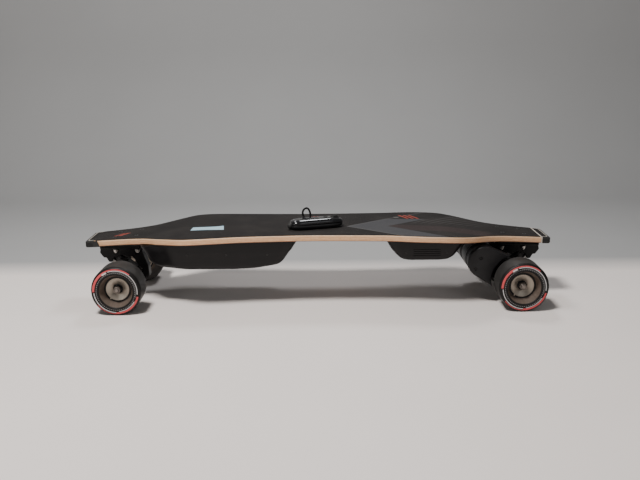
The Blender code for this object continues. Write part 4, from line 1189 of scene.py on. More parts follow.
def make_hanger(end, truck, paint):
    """A cast beam that tapers to the wheels, with a web, gussets, the kingpin ring and the pivot pin."""
    shape = new_shape()
    prism(shape, HANGER_WEB, 0.0108, sideways(truck))
    beam = [*HANGER_BEAM, *((radius, -y) for radius, y in reversed(HANGER_BEAM))]
    stack(shape, beam, truck @ Matrix.Translation((0, 0, AXLE_Z)) @ Matrix.Rotation(math.pi / 2, 4, "X"), 40)
    turn(shape, HANGER_RING, kingpin_place(truck, 0.0))
    stack(shape, HANGER_PIN, steer_place(truck, 0.0))
    back, front, base = -0.0020, 0.0052, 0.046
    for side in (-1, 1):
        rows = []
        for reach, top in ((0.008, 0.0615), (0.042, 0.0540)):
            y = side * reach
            rows.append([(back, y, base), (front, y, base), (front - 0.001, y, top), (back, y, top)])
        loft(shape, rows, truck)
    cast(end + "_hanger_casting", shape, paint, end + "_truck", "truck", [end + "_hanger"], 0.00080, 5)


def make_riser(end, truck, side, axle_x, rubber):
    """A wedge of rubber between the sloping deck and the baseplate."""
    shape = new_shape()
    sections = []
    for u in spaced(FLANGE_U[0], FLANGE_U[1], 14):
        top = deck_top(axle_x + side * u) - DECK_THICKNESS - GAP
        sections.append(edge_section(u, FLANGE_HALF - 0.0002, FLANGE_HIGH + GAP, top, 0.0009, 3))
    loft(shape, sections, truck)
    piece(end + "_riser_pad", shape, [rubber], "board", [end + "_riser"])


# (radius, distance) sections round the kingpin and, for the pivot cup, round the steering axis
NUT_WASHER = ((0.0050, 0.0158), (0.0128, 0.0144), (0.0130, 0.0152), (0.0122, 0.0172), (0.0050, 0.0172))
BARREL_BUSHING = (
    (0.0051, -0.0153), (0.0112, -0.0153), (0.0119, -0.0145), (0.0124, -0.0098),
    (0.0119, -0.0051), (0.0112, -0.0043), (0.0051, -0.0043),
)
CONE_BUSHING = (
    (0.0051, 0.0043), (0.0112, 0.0043), (0.0121, 0.0050), (0.0121, 0.0075),
    (0.0106, 0.0140), (0.0098, 0.0153), (0.0051, 0.0153),
)
PIVOT_LIP = (
    (0.0053, -0.0262), (0.0078, -0.0262), (0.0086, -0.0254),
    (0.0086, -0.0246), (0.0074, -0.0240), (0.0053, -0.0240),
)
PIVOT_CUP = ((0.0070, -0.0405), (0.0073, -0.0400), (0.0073, -0.0262), (0.0070, -0.0258))


def threaded(radius, start, pitch, steps):
    """Levels of a screw thread, drawn as a row of rings."""
    return [(radius - (0.0004 if step % 2 else 0.0), start + pitch * step) for step in range(steps)]


def make_steering_parts(end, truck, steel, urethane, rubber):
    """Kingpin, its lock nut, cupped washer, the two bushings and the pivot cup."""
    place = kingpin_place(truck, 0.0)
    bolt = new_shape()
    levels = [
        (0.0074, -0.0238, "hex"), (0.0078, -0.0232, "hex"), (0.0078, -0.0180, "hex"), (KINGPIN_R, -0.0178),
        *threaded(KINGPIN_R, 0.0160, 0.0004, 26), (KINGPIN_R - 0.0008, 0.0265),
    ]
    stack(bolt, levels, place, 36)
    piece(end + "_kingpin_bolt", bolt, [steel], "board", [end + "_kingpin"])
    nut = new_shape()
    hex_nut(nut, kingpin_place(truck, 0.0172), 0.0086, 0.0072, KINGPIN_R + 0.0001)
    turn(nut, NUT_WASHER, place)
    piece(end + "_kingpin_lock_nut", nut, [steel], "board", [end + "_kingpin_nut"])
    for name, profile in (("boardside", BARREL_BUSHING), ("roadside", CONE_BUSHING)):
        shape = new_shape()
        turn(shape, profile, place, 48)
        piece(f"{end}_{name}_urethane", shape, [urethane], "board", [f"{end}_{name}_bushing"])
    cup = new_shape()
    turn(cup, PIVOT_LIP, steer_place(truck, 0.0), 40)
    stack(cup, PIVOT_CUP, steer_place(truck, 0.0))
    piece(end + "_pivot_bush", cup, [rubber], "board", [end + "_pivot_cup"])


def make_truck_bolts(end, truck, axle_x, side, steel, black):
    """Nuts and washers under the flange, and countersunk heads on the grip."""
    washer = 0.0008
    nuts, heads = new_shape(), new_shape()
    for u, y in BOLT_SPOTS:
        under = truck @ aimed((u, y, FLANGE_LOW - 0.0010), (0, 0, -1))
        rod(nuts, 0.0052, 0.0, washer, under)
        hex_nut(nuts, under @ Matrix.Translation((0, 0, washer)), 0.0047, 0.0046, 0.0023)
        stack(nuts, [(0.0024, 0.0030), (0.0024, 0.0066), (0.0018, 0.0072)], under)
        x = axle_x + side * u
        level = deck_top(x) + GAP + GRIP_THICKNESS
        flat_screw(heads, aimed((x, side * y, level), (0, 0, 1)), 0.0042)
    piece(end + "_deck_nuts", nuts, [steel], "board")
    piece(end + "_deck_screws", heads, [black], "board")


AXLE_R = 0.0040


def make_axle(end, axle_x, steel):
    """The axle with threaded ends, and its nuts and speed rings."""
    place = Matrix.Translation((axle_x, 0, AXLE_Z)) @ Matrix.Rotation(-math.pi / 2, 4, "X")
    axle = new_shape()
    half = [(AXLE_R, 0.1180), *threaded(AXLE_R, 0.1185, 0.0005, 28), (0.0034, 0.1330)]
    stack(axle, [(radius, -z) for radius, z in reversed(half)] + [(AXLE_R, 0.0)] + half, place, 24)
    piece(end + "_axle_rod", axle, [steel], end + "_truck", [end + "_axle"])
    for hand_name, hand in HANDS:
        nut = new_shape()
        outward = wheel_place(axle_x, AXLE_Z, hand)
        hex_nut(nut, outward @ Matrix.Translation((0, 0, 0.1244)), 0.0075, 0.0064, 0.0041)
        turn(nut, rectangle(0.0042, 0.0062, 0.1232, 0.1243), outward, 40)
        name = f"{end}_{hand_name}_axle_nut"
        piece(name + "_nyloc", nut, [steel], end + "_truck", [name])


# Wheels


def wheel_place(axle_x, z, hand):
    """Local Z points outwards on the left (-1) or right (1) side."""
    return Matrix.Translation((axle_x, 0, z)) @ Matrix.Rotation(-hand * math.pi / 2, 4, "X")


def curve_points(centre, radius, start, end, steps):
    """Points of an arc between two angles in degrees."""
    points = []
    for i in range(steps + 1):
        angle = math.radians(start + (end - start) * i / steps)
        points.append((centre[0] + radius * math.cos(angle), centre[1] + radius * math.sin(angle)))
    return points


def make_tyre(tag, place, look):
    """Urethane with round shoulders, a raised bead round its face and a deep conical recess."""
    shoulder = 0.0064
    outer, inner = TYRE_OUTER, TYRE_INNER
    profile = [(0.0262, outer - 0.0164), (0.0290, outer - 0.0100), (0.0316, outer - 0.0032)]
    profile += [(0.0322, outer - 0.0012), (0.0330, outer - 0.0002), (0.0338, outer)]
    profile += [(0.0350, outer - 0.0003), (0.0352, outer - 0.0004)]
    profile += curve_points((WHEEL_R - shoulder, outer - shoulder), shoulder - 0.0001, 88, 0, 10)
    for share in (0.2, 0.4, 0.6, 0.8):
        z = outer - shoulder + (inner - outer + 2 * shoulder) * share
        profile.append((WHEEL_R - 0.0001 + 0.0001 * math.sin(math.pi * share), z))
    profile += curve_points((WHEEL_R - shoulder, inner + shoulder), shoulder - 0.0001, 0, -88, 10)
    profile += [(0.0338, inner), (0.0326, inner + 0.0006), (0.0318, inner + 0.0030), (0.0262, inner + 0.0130)]
    shape = new_shape()
    turn(shape, profile, place, 144)
    piece(tag + "_urethane", shape, [look], tag + "_wheel", [tag + "_tyre"], 50.0)


HUB_DEPTH = 0.0166
DRIVEN_HUB_BACK = 0.0990
FREE_HUB_BACK = 0.0965
# (material slot, section) of a bearing's outer ring, shield and inner ring
BEARING_RINGS = (
    (0, ((0.0096, 0.0), (0.0111, 0.0), (0.0111, 0.0034), (0.0108, 0.0037), (0.0098, 0.0037))),
    (1, ((0.0060, 0.0), (0.0096, 0.0), (0.0098, 0.0030), (0.0094, 0.0033), (0.0062, 0.0031))),
    (0, ((0.0042, 0.0), (0.0059, 0.0), (0.0060, 0.0036), (0.0057, 0.0038), (0.0042, 0.0038))),
)


def make_core(tag, place, metal, dark, driven):
    """A dished metal hub in a dark rim, and two shielded bearings."""
    shape = new_shape()
    face = TYRE_OUTER - HUB_DEPTH
    back = DRIVEN_HUB_BACK if driven else FREE_HUB_BACK
    disc = [
        (0.0092, face - 0.0052), (0.0094, face - 0.0045), (0.0102, face - 0.0040), (0.0212, face - 0.0002),
        (0.0219, face), (0.0223, face - 0.0002), (0.0225, face - 0.0010), (0.0225, back + 0.0060),
        (0.0113, back + 0.0060), (0.0113, face - 0.0062), (0.0092, face - 0.0062),
    ]
    turn(shape, disc, place, 96)
    rim = [
        (0.0226, back + 0.0008), (0.0226, face - 0.0020), (0.0232, face - 0.0012), (0.0256, face - 0.0014),
        (0.0259, face - 0.0024), (0.0259, back + 0.0002), (0.0256, back), (0.0229, back),
    ]
    turn(shape, rim, place, 96, 1)
    notch = place @ Matrix.Rotation(math.radians(-128), 4, "Z")
    block(shape, (0.0222, -0.0012, face - 0.0022), (0.0252, 0.0012, face - 0.0006), 0.0003, 0.0004, notch)
    piece(tag + "_hub", shape, [metal, dark], tag + "_wheel", [tag + "_wheel_core"])
    make_core_back(tag, place, metal, back)
    bearings = new_shape()
    inner_way = Matrix.Translation((0, 0, back + 0.0002)) @ Matrix.Rotation(math.pi, 4, "X")
    for way in (Matrix.Translation((0, 0, face - 0.0102)), inner_way):
        for slot, ring in BEARING_RINGS:
            turn(bearings, ring, place @ way, 56, slot)
    piece(tag + "_bearings", bearings, [dark, dark], tag + "_wheel")


BACK_HOLES = 15
BACK_HOLES_AT = 0.0196


def make_core_back(tag, place, metal, back):
    """The hub's inner end, with a ring of lightening holes."""
    shape = new_shape()
    profile = [
        (0.0114, back + 0.0002), (0.0120, back), (0.0228, back), (0.0232, back + 0.0004),
        (0.0232, back + 0.0030), (0.0114, back + 0.0030),
    ]
    turn(shape, profile, place, 90)
    holes = new_shape()
    for way in around(BACK_HOLES):
        rod(holes, 0.0019, -0.0040, 0.0050, place @ way @ Matrix.Translation((BACK_HOLES_AT, 0, back)), 16)
    disc = piece(tag + "_hub_back", shape, [metal], tag + "_wheel")
    carve(disc, [holes])


# Belt drive

DRIVE_RUN = (MOTOR_X - REAR_AXLE_X, MOTOR_Z - AXLE_Z)
DRIVE_DISTANCE = math.hypot(*DRIVE_RUN)
WHEEL_TEETH, MOTOR_TEETH, BELT_TEETH = 38, 16, 64
WHEEL_PULLEY_R = 0.0302
MOTOR_PULLEY_R = 0.0127
BELT_BACK = 0.0034
TOOTH_DEPTH = 0.0012
WHEEL_PULLEY_BORE, MOTOR_PULLEY_BORE = 0.0092, 0.0043
WHEEL_PULLEY_HUB_END = 0.0985


def tooth_wave(phase):
    """0 in a gap and 1 on a tooth, with sloping sides, as phase goes round by 1 a tooth."""
    return min(1.0, max(0.0, 2.4 * (0.5 + 0.5 * math.cos(math.tau * phase)) - 0.7))


def toothed_level(radius, depth, teeth, height):
    """A toothed outline at one height, eight points to a tooth."""
    section = []
    sides = teeth * 8
    for step in range(sides):
        angle = math.tau * step / sides
        reach = radius - depth * (1 - tooth_wave(step / 8))
        section.append((reach * math.cos(angle), reach * math.sin(angle), height))
    return section


PULLEY_TEETH_FROM, PULLEY_TEETH_TO = 0.0674, 0.0796
PULLEY_FLANGES = (0.0662, 0.0795)


def make_pulley(name, node, radius, teeth, place, body, metal, bore, hub_end=None):
    """A toothed rim between two flanges, with a bolted hub where hub_end says how far it reaches."""
    shape = new_shape()
    heights = (PULLEY_TEETH_FROM, PULLEY_TEETH_TO)
    loft(shape, [toothed_level(radius, TOOTH_DEPTH, teeth, height) for height in heights], place)
    for low in PULLEY_FLANGES:
        flange = [
            (bore, low), (radius + 0.0014, low), (radius + 0.0019, low + 0.0003),
            (radius + 0.0019, low + 0.0009), (radius + 0.0012, low + 0.0012), (bore, low + 0.0012),
        ]
        turn(shape, flange, place, 80)
    if hub_end:
        hub = [
            (bore, 0.0800), (0.0188, 0.0800), (0.0190, 0.0806),
            (0.0190, hub_end - 0.0006), (0.0184, hub_end), (bore, hub_end),
        ]
        turn(shape, hub, place, 56)
        for x, y in ring_spots(0.0242, 6):
            socket_screw(shape, place @ Matrix.Translation((x, y, 0.0807)), 0.0022, 0.0018)
    piece(name, shape, [metal], body, [node])


# An outrunner motor, measured along its axis from the middle of the board
CAN_R = 0.0310
CAN_BORE = 0.0288
CAN_OPEN_END = 0.0504
CAN_GROOVES = (0.0440, 0.0405, 0.0150)
CAN_SPOKES = 8
COIL_COUNT = 12


def make_motor_can(hand_name, place, paint, steel):
    """The spinning can, with ring grooves and a spoked end, and its shaft."""
    can = new_shape()
    profile = [(CAN_BORE, 0.0080), (CAN_BORE, CAN_OPEN_END), (CAN_R - 0.0004, CAN_OPEN_END), (CAN_R, 0.0500)]
    for middle in CAN_GROOVES:
        profile += groove(CAN_R, CAN_R - 0.0007, middle, 0.0006)
    profile += [(CAN_R, 0.0095), (CAN_R - 0.0006, 0.0072), (CAN_R - 0.0020, 0.0061)]
    profile += [(0.0250, 0.0060), (0.0246, 0.0064), (0.0246, 0.0080)]
    turn(can, profile, place, 96)
    boss = [(0.0085, 0.0060), (0.0092, 0.0066), (0.0092, 0.0096), (0.0041, 0.0096), (0.0041, 0.0060)]
    turn(can, boss, place, 48)
    for way in around(CAN_SPOKES):
        block(can, (0.0086, -0.0021, 0.0064), (0.0254, 0.0021, 0.0090), 0.0006, 0.0008, place @ way)
    shaft = [(0.0036, 0.0062), (0.0040, 0.0066), (0.0040, 0.0805), (0.0036, 0.0810)]
    stack(can, shaft, place, 28, 1)
    body = hand_name + "_motor"
    piece(hand_name + "_motor_can", can, [paint, steel], body, [hand_name + "_motor_rotor"])


def make_motor_windings(hand_name, place, copper, dark):
    """The fixed copper coils on their core, and the base that carries them."""
    coils = new_shape()
    base = [
        (0.0050, 0.0560), (0.0296, 0.0560), (0.0301, 0.0554),
        (0.0301, 0.0514), (0.0296, 0.0509), (0.0050, 0.0509),
    ]
    turn(coils, base, place, 80, 1)
    turn(coils, rectangle(0.0050, 0.0120, 0.0125, 0.0505), place, 40, 1)
    for way in around(COIL_COUNT):
        block(coils, (0.0122, -0.0030, 0.0120), (0.0272, 0.0030, 0.0490), 0.0018, 0.0024, place @ way)
    name = hand_name + "_motor_windings"
    piece(name, coils, [copper, dark], "rear_truck", [hand_name + "_motor_stator"])


def hull_points(small_r, big_r, steps=28):
    """Outline round the motor's and the wheel's axes, anticlockwise, in the truck's (u, z) frame."""
    small = DRIVE_RUN[0], DRIVE_RUN[1] + AXLE_Z
    heading = math.degrees(math.atan2(-DRIVE_RUN[1], -DRIVE_RUN[0]))
    lean = math.degrees(math.asin((big_r - small_r) / DRIVE_DISTANCE))
    outer = curve_points((0.0, AXLE_Z), big_r, heading - 90 - lean, heading + 90 + lean, steps)
    inner = curve_points(small, small_r, heading + 90 + lean, heading + 270 - lean, steps)
    return outer + inner


def resampled(points, count):
    """The same closed outline with evenly spaced points."""
    points = [Vector((*p, 0)) for p in points]
    lengths = [(points[(i + 1) % len(points)] - p).length for i, p in enumerate(points)]
    total = sum(lengths)
    out, i, done = [], 0, 0.0
    for step in range(count):
        goal = total * step / count
        while done + lengths[i] < goal:
            done += lengths[i]
            i += 1
        out.append(points[i].lerp(points[(i + 1) % len(points)], (goal - done) / lengths[i]))
    return out


def make_belt(hand_name, hand, truck, look):
    """A closed belt with teeth on its inside."""
    count = BELT_TEETH * 8
    back = resampled(hull_points(MOTOR_PULLEY_R + BELT_BACK, WHEEL_PULLEY_R + BELT_BACK), count)
    root = resampled(hull_points(MOTOR_PULLEY_R + 0.0016, WHEEL_PULLEY_R + 0.0016), count)
    tips = resampled(hull_points(MOTOR_PULLEY_R + 0.0004, WHEEL_PULLEY_R + 0.0004), count)
    low, high = 0.0682, 0.0788
    sections = []
    for i in range(count):
        inside = root[i].lerp(tips[i], tooth_wave(i / 8))
        ring = [(back[i], low), (back[i], high), (inside, high), (inside, low)]
        sections.append([(point.x, hand * y, point.y) for point, y in ring])
    shape = new_shape()
    loft(shape, sections, truck, ring=True)
    piece(hand_name + "_toothed_belt", shape, [look], "rear_truck", [hand_name + "_belt"])


MOUNT_LOW, MOUNT_HIGH = 0.0570, 0.0620
MOUNT_MOTOR_R, MOUNT_AXLE_R = 0.0270, 0.0165


def mount_outline(inset):
    """The mount's side view, round the motor and the hanger."""
    return hull_points(MOUNT_MOTOR_R - inset, MOUNT_AXLE_R - inset, 20)


def make_mount(hand_name, hand, truck, paint, steel):
    """A plate that clamps round the hanger and carries the motor, with its screws."""
    place = sideways(truck, hand)
    shape = new_shape()
    slab(shape, mount_outline, MOUNT_LOW, MOUNT_HIGH, 0.0008, place)
    clamp = [(0.0096, 0.0440), (0.0150, 0.0440), (0.0158, 0.0450), (0.0158, 0.0566), (0.0096, 0.0566)]
    turn(shape, clamp, place @ Matrix.Translation((0, AXLE_Z, 0)), 48)
    lug = 0.0060
    block(shape, (0.0100, AXLE_Z - lug, 0.0445), (0.0230, AXLE_Z + lug, 0.0565), 0.0008, 0.0012, place)
    piece(hand_name + "_mount_plate", shape, [paint], "rear_truck", [hand_name + "_motor_mount"])
    screws = new_shape()
    for u, up in ring_spots(0.0195, 4, 0.5):
        at = place @ Matrix.Translation((DRIVE_RUN[0] + u, DRIVE_RUN[1] + AXLE_Z + up, MOUNT_HIGH))
        socket_screw(screws, at, 0.0030, 0.0022)
    for height in (0.0480, 0.0530):
        at = place @ aimed((0.0165, AXLE_Z + lug, height), (0, 1, 0))
        socket_screw(screws, at, 0.0030, 0.0028)
    piece(hand_name + "_mount_screws", screws, [steel], "rear_truck")


COVER_SMALL_R = 0.0318
COVER_BIG_R = 0.0380
COVER_CUT_R = 0.0515
COVER_SCREWS = ((-0.0072, 0.0084), (-0.0171, -0.0133))


def cover_outline(inset):
    """The cover's side view: round the motor's pulley, then straight to an arc cut clear of the tyre."""
    axle = Vector((0.0, AXLE_Z))
    hull = hull_points(COVER_SMALL_R - inset, COVER_BIG_R - inset, 24)
    cut = COVER_CUT_R + inset
    count = len(hull) // 2
    big_start, big_end = Vector(hull[0]), Vector(hull[count - 1])
    small_start, small_end = Vector(hull[count]), Vector(hull[-1])

    def crossing(outside, inside):
        """Where the line from outside to inside comes within the cut's radius of the axle."""
        low, high = 0.0, 1.0
        for _ in range(30):
            middle = (low + high) / 2
            if (outside.lerp(inside, middle) - axle).length > cut:
                low = middle
            else:
                high = middle
        return outside.lerp(inside, low)

    first = crossing(small_start, big_end)
    last = crossing(small_end, big_start)
    points = [tuple(first)] + hull[count:] + [tuple(last)]
    start = math.degrees(math.atan2(last.y - axle.y, last.x))
    end = math.degrees(math.atan2(first.y - axle.y, first.x))
    start, end = start % 360, end % 360
    points += curve_points(tuple(axle), cut, start, end, 16)[1:-1]
    return points


def make_cover(hand_name, hand, truck, shell, steel):
    """The belt's moulded cover, with a parting line and two recessed screws."""
    low, high = 0.0625, 0.0862
    place = sideways(truck, hand)
    shape = new_shape()
    slab(shape, cover_outline, 0.0668, high, 0.0030, place, 0, 6)
    slab(shape, lambda inset: cover_outline(inset + 0.0003), low, 0.0664, 0.0006, place)
    name = hand_name + "_cover_shell"
    cover = piece(name, shape, [shell], "rear_truck", [hand_name + "_belt_cover"])
    recesses, screws = new_shape(), new_shape()
    for across, up in COVER_SCREWS:
        at = place @ Matrix.Translation((DRIVE_RUN[0] + across, AXLE_Z + DRIVE_RUN[1] + up, high))
        stack(recesses, [(0.0032, -0.0026), (0.0034, 0.0100)], at, 32)
        socket_screw(screws, at @ Matrix.Translation((0, 0, -0.0026)), 0.0027, 0.0018)
    carve(cover, [recesses])
    piece(hand_name + "_cover_screws", screws, [steel], "rear_truck")


# Electrics

BUTTON_AT = (-0.150, 0.0)
BUTTON_R = 0.0080
PORT_AT = (0.215, 0.0863, 0.1150)
PORT_R = 0.0058
CELL_R = 0.0090
CELL_LENGTH = 0.0650


def button_hole():
    """The shape that is cut out of the battery enclosure for the power button."""
    shape = new_shape()
    rod(shape, BUTTON_R + GAP, 0.0600, 0.0900, Matrix.Translation((*BUTTON_AT, 0.0)), 48)
    return shape


def port_hole():
    """The shape that is cut out of the controller's enclosure for the charge socket."""
    shape = new_shape()
    rod(shape, PORT_R, -0.0080, 0.0200, aimed(PORT_AT, (0, 1, 0)), 40)
    return shape


BUTTON_FACE_Z = 0.0717


def make_power_button(rubber, mark):
    """A dished rubber button with a raised rim and a pale ring printed on it."""
    shape = new_shape()
    low = BUTTON_FACE_Z
    levels = [
        (BUTTON_R - 0.0010, 0.0787), (BUTTON_R - 0.0010, low + 0.0026), (BUTTON_R, low + 0.0024),
        (BUTTON_R, low + 0.0009), (BUTTON_R - 0.0003, low + 0.0003), (BUTTON_R - 0.0010, low),
        (BUTTON_R - 0.0018, low + 0.0001), (BUTTON_R - 0.0028, low + 0.0007), (0.0012, low + 0.0010),
    ]
    place = Matrix.Translation((*BUTTON_AT, 0.0))
    stack(shape, levels, place, 56)
    turn(shape, rectangle(0.0030, 0.0036, low + 0.0006, low + 0.0012), place, 48, 1)
    piece("power_button_cap", shape, [rubber, mark], "power_button", ["power_button"])


def make_charge_port(rubber, metal, dark):
    """A hinged rubber cap with a ribbed strap and a pull tab, over a round socket."""
    shape = new_shape()
    out = aimed(PORT_AT, (0, 1, 0))
    cap = [
        (0.0081, 0.0), (0.0085, 0.0003), (0.0085, 0.0014), (0.0080, 0.0020),
        (0.0060, 0.0022), (0.0056, 0.0018), (0.0008, 0.0017),
    ]
    stack(shape, cap, out, 48)
    x, y, z = PORT_AT
    # (half width, (near, far) from the enclosure's side, (low, high) from the middle, edge, corner)
    strap = (0.0040, (0.0003, 0.0020), (0.0060, 0.0105), 0.0004, 0.0006)
    upper_rib = (0.0040, (0.0004, 0.0021), (0.0092, 0.0096), 0.0001, 0.0002)
    lower_rib = (0.0040, (0.0004, 0.0021), (0.0082, 0.0086), 0.0001, 0.0002)
    tab = (0.0026, (0.0006, 0.0020), (-0.0096, -0.0070), 0.0004, 0.0010)
    for half, (near, far), (low, high), edge, corner in (strap, lower_rib, upper_rib, tab):
        block(shape, (x - half, y + near, z + low), (x + half, y + far, z + high), edge, corner)
    piece("charge_cap_rubber", shape, [rubber], "charge_cap", ["charge_port_cap"])
    socket = new_shape()
    sleeve = [(0.0046, -0.0074), (0.0055, -0.0074), (0.0055, -0.0024), (0.0051, -0.0020), (0.0046, -0.0024)]
    turn(socket, sleeve, out, 40)
    pin = [(0.0046, -0.0078), (0.0046, -0.0062), (0.0011, -0.0060), (0.0011, -0.0032), (0.0007, -0.0027)]
    stack(socket, pin, out, 28, 1)
    piece("charge_socket", socket, [metal, dark], "board")


PACK_X = -0.180
PACK_LOW = 0.0832
CELL_ROWS = 6
CELL_PITCH = 0.0200
LAYER_GAP = 0.0012
PAIR_GAP = 0.0022
PACK_HIGH = PACK_LOW + 4 * CELL_R + LAYER_GAP
# (radius, height) of a cell, with the groove near its positive end
CELL_LEVELS = (
    (CELL_R - 0.0008, 0.0), (CELL_R, 0.0006), (CELL_R, CELL_LENGTH - 0.0024),
    (CELL_R - 0.0005, CELL_LENGTH - 0.0018), (CELL_R, CELL_LENGTH - 0.0012),
    (CELL_R - 0.0006, CELL_LENGTH), (0.0060, CELL_LENGTH),
)


def row_middle(row):
    """Y of a row of cells. A half lies between two rows."""
    return (row - (CELL_ROWS - 1) / 2) * CELL_PITCH


def make_battery_pack(wrap, nickel, tape):
    """Round cells in two layers, end to end in pairs, with nickel strips and bands of tape."""
    shape = new_shape()
    for layer in range(2):
        z = PACK_LOW + CELL_R + layer * (2 * CELL_R + LAYER_GAP)
        for row in range(CELL_ROWS):
            for side in (-1, 1):
                place = aimed((PACK_X + side * PAIR_GAP, row_middle(row), z), (side, 0, 0))
                stack(shape, CELL_LEVELS, place, 28)
                rod(shape, 0.0042, CELL_LENGTH - 0.0005, CELL_LENGTH + 0.0008, place, 20, 1)
    for side in (-1, 1):
        end = PACK_X + side * (CELL_LENGTH + PAIR_GAP)
        near, far = sorted((end, end + side * 0.0014))
        for pair in range(CELL_ROWS // 2):
            y = row_middle(2 * pair + 0.5)
            low, high = (near, y - 0.0150, PACK_LOW + 0.0060), (far, y + 0.0150, PACK_HIGH - 0.0060)
            block(shape, low, high, 0.0002, 0.0010, None, 1)
        middle = PACK_X + side * 0.0440
        for level in (PACK_LOW + 0.0006, PACK_HIGH - 0.0026):
            low, high = (middle - 0.0060, -0.0600, level), (middle + 0.0060, 0.0600, level + 0.0020)
            block(shape, low, high, 0.0004, 0.0010, None, 2)
    piece("battery_cells", shape, [wrap, nickel, tape], "board", ["battery_pack"])


CIRCUIT_LOW, CIRCUIT_HIGH = 0.1040, 0.1056
SINK_X = (0.1800, 0.2420)


def make_controller_board(green, dark, nickel):
    """A circuit board with a finned heat sink, rows of transistors and capacitors."""
    shape = new_shape()
    block(shape, (0.1725, -0.0545, CIRCUIT_LOW), (0.2495, 0.0545, CIRCUIT_HIGH), 0.0002, 0.0020)
    block(shape, (SINK_X[0], -0.0500, 0.0965), (SINK_X[1], 0.0500, 0.0988), 0.0003, 0.0010, None, 2)
    for fin in range(14):
        y = -0.0480 + fin * 0.0074
        low, high = (SINK_X[0], y - 0.0006, 0.0986), (SINK_X[1], y + 0.0006, 0.1038)
        block(shape, low, high, 0.0002, 0.0003, None, 2)
    half = 0.0050
    for x in (0.1890, 0.2330):
        for row in range(6):
            y = -0.0400 + row * 0.0160
            low, high = (x - half, y - half, CIRCUIT_HIGH), (x + half, y + half, CIRCUIT_HIGH + 0.0020)
            block(shape, low, high, 0.0003, 0.0004, None, 1)
    for row in range(5):
        place = Matrix.Translation((0.2110, -0.0400 + row * 0.0200, CIRCUIT_HIGH))
        stack(shape, [(0.0046, 0.0), (0.0050, 0.0005), (0.0050, 0.0108), (0.0046, 0.0114)], place, 28, 1)
        rod(shape, 0.0044, 0.0112, 0.0118, place, 24, 2)
    piece("controller_board", shape, [green, dark, nickel], "board", ["motor_controller"])


# Handset

HANDSET_AT = (-0.004, -0.0370)
HANDSET_YAW = math.radians(18.0)
HANDSET_HALF = (0.0530, 0.0180)
HANDSET_HEIGHT = 0.0205
HANDSET_SPLIT = 0.0095
THUMB_X = 0.0400
THUMB_R = 0.0076
THUMB_DEPTH = 0.0040
THUMB_Z = HANDSET_HEIGHT - THUMB_DEPTH
THUMB_RIBS = 26
BUTTON_X = 0.0200
LENS_X = -0.0120
CORD_R = 0.0020


def handset_place():
    """Puts the handset's own frame on the grip."""
    base = deck_top(HANDSET_AT[0]) + GAP + GRIP_THICKNESS + GAP
    return Matrix.Translation((*HANDSET_AT, base)) @ Matrix.Rotation(HANDSET_YAW, 4, "Z")


def handset_half(share):
    """(half width, narrowing) of the handset at a share of its half length."""
    narrowing = math.sqrt(max(0.0, 1 - abs(share) ** 5))
    return HANDSET_HALF[1] * (0.42 + 0.58 * narrowing), narrowing


def handset_shell(shape, place, side):
    """One half shell. side is 1 for the upper and -1 for the lower."""
    seam = HANDSET_SPLIT + side * GAP / 2
    reach = HANDSET_HEIGHT - HANDSET_SPLIT if side > 0 else HANDSET_SPLIT
    square = 3.0 if side > 0 else 3.6
    sections = []
    steps = 30
    for i in range(-22, 23):
        share = math.sin(math.pi / 2 * i / 22)
        half, narrowing = handset_half(share)
        depth = (reach - GAP / 2) * (0.40 + 0.60 * narrowing)
        section = []
        for step in range(steps + 1):
            angle = math.pi * step / steps
            across, up = math.cos(angle), math.sin(angle)
            y = half * math.copysign(abs(across) ** (2 / square), across)
            z = seam + side * (0.0007 + (depth - 0.0007) * max(up, 0.0) ** (2 / square))
            section.append((share * HANDSET_HALF[0], y, z))
        lip = half - 0.0005
        section.append((share * HANDSET_HALF[0], -lip, seam))
        section.append((share * HANDSET_HALF[0], lip, seam))
        sections.append(section)
    loft(shape, sections, place)


def thumb_well(place):
    """The shape that is cut out of both shells for the thumb wheel."""
    shape = new_shape()
    half_x, half_y = 0.0096, 0.0059
    low, high = (THUMB_X - half_x, -half_y, 0.0045), (THUMB_X + half_x, half_y, 0.0300)
    block(shape, low, high, 0.0002, 0.0024, place)
    return shape


def make_handset_shells(place, gloss, satin):
    """Two half shells with their openings."""
    upper, lower, hole, pocket = new_shape(), new_shape(), new_shape(), new_shape()
    handset_shell(upper, place, 1)
    handset_shell(lower, place, -1)
    button_place = place @ Matrix.Translation((BUTTON_X, 0, 0))
    rod(hole, 0.0046, HANDSET_HEIGHT - 0.0060, HANDSET_HEIGHT + 0.0100, button_place, 40)
    low, high = (LENS_X - 0.0142, -0.0082, HANDSET_HEIGHT - 0.0012), (LENS_X + 0.0142, 0.0082, 0.0300)
    block(pocket, low, high, 0.0002, 0.0016, place)
    top = piece("handset_upper_case", upper, [gloss], "handset", ["handset_upper_shell"])
    carve(top, [thumb_well(place), hole, pocket])
    base = piece("handset_lower_case", lower, [satin], "handset", ["handset_lower_shell"])
    carve(base, [thumb_well(place)])


def make_thumb_wheel(place, rubber, chrome):
    """A ribbed wheel with a bright boss on each side."""
    wheel = new_shape()
    spin = place @ Matrix.Translation((THUMB_X, 0, THUMB_Z)) @ Matrix.Rotation(-math.pi / 2, 4, "X")
    # (radius, depth of the ribs, height) from one side to the other
    side_r, side_depth, depth = THUMB_R - 0.0009, 0.0002, 0.0007
    levels = (
        (side_r, side_depth, -0.0052), (THUMB_R, depth, -0.0043),
        (THUMB_R, depth, 0.0043), (side_r, side_depth, 0.0052),
    )
    loft(wheel, [toothed_level(radius, cut, THUMB_RIBS, height) for radius, cut, height in levels], spin)
    for side in (-1, 1):
        turn(wheel, rectangle(0.0008, 0.0026, side * 0.0051, side * 0.0055), spin, 24, 1)
    piece("thumb_wheel_rubber", wheel, [rubber, chrome], "thumb_wheel", ["thumb_wheel"])


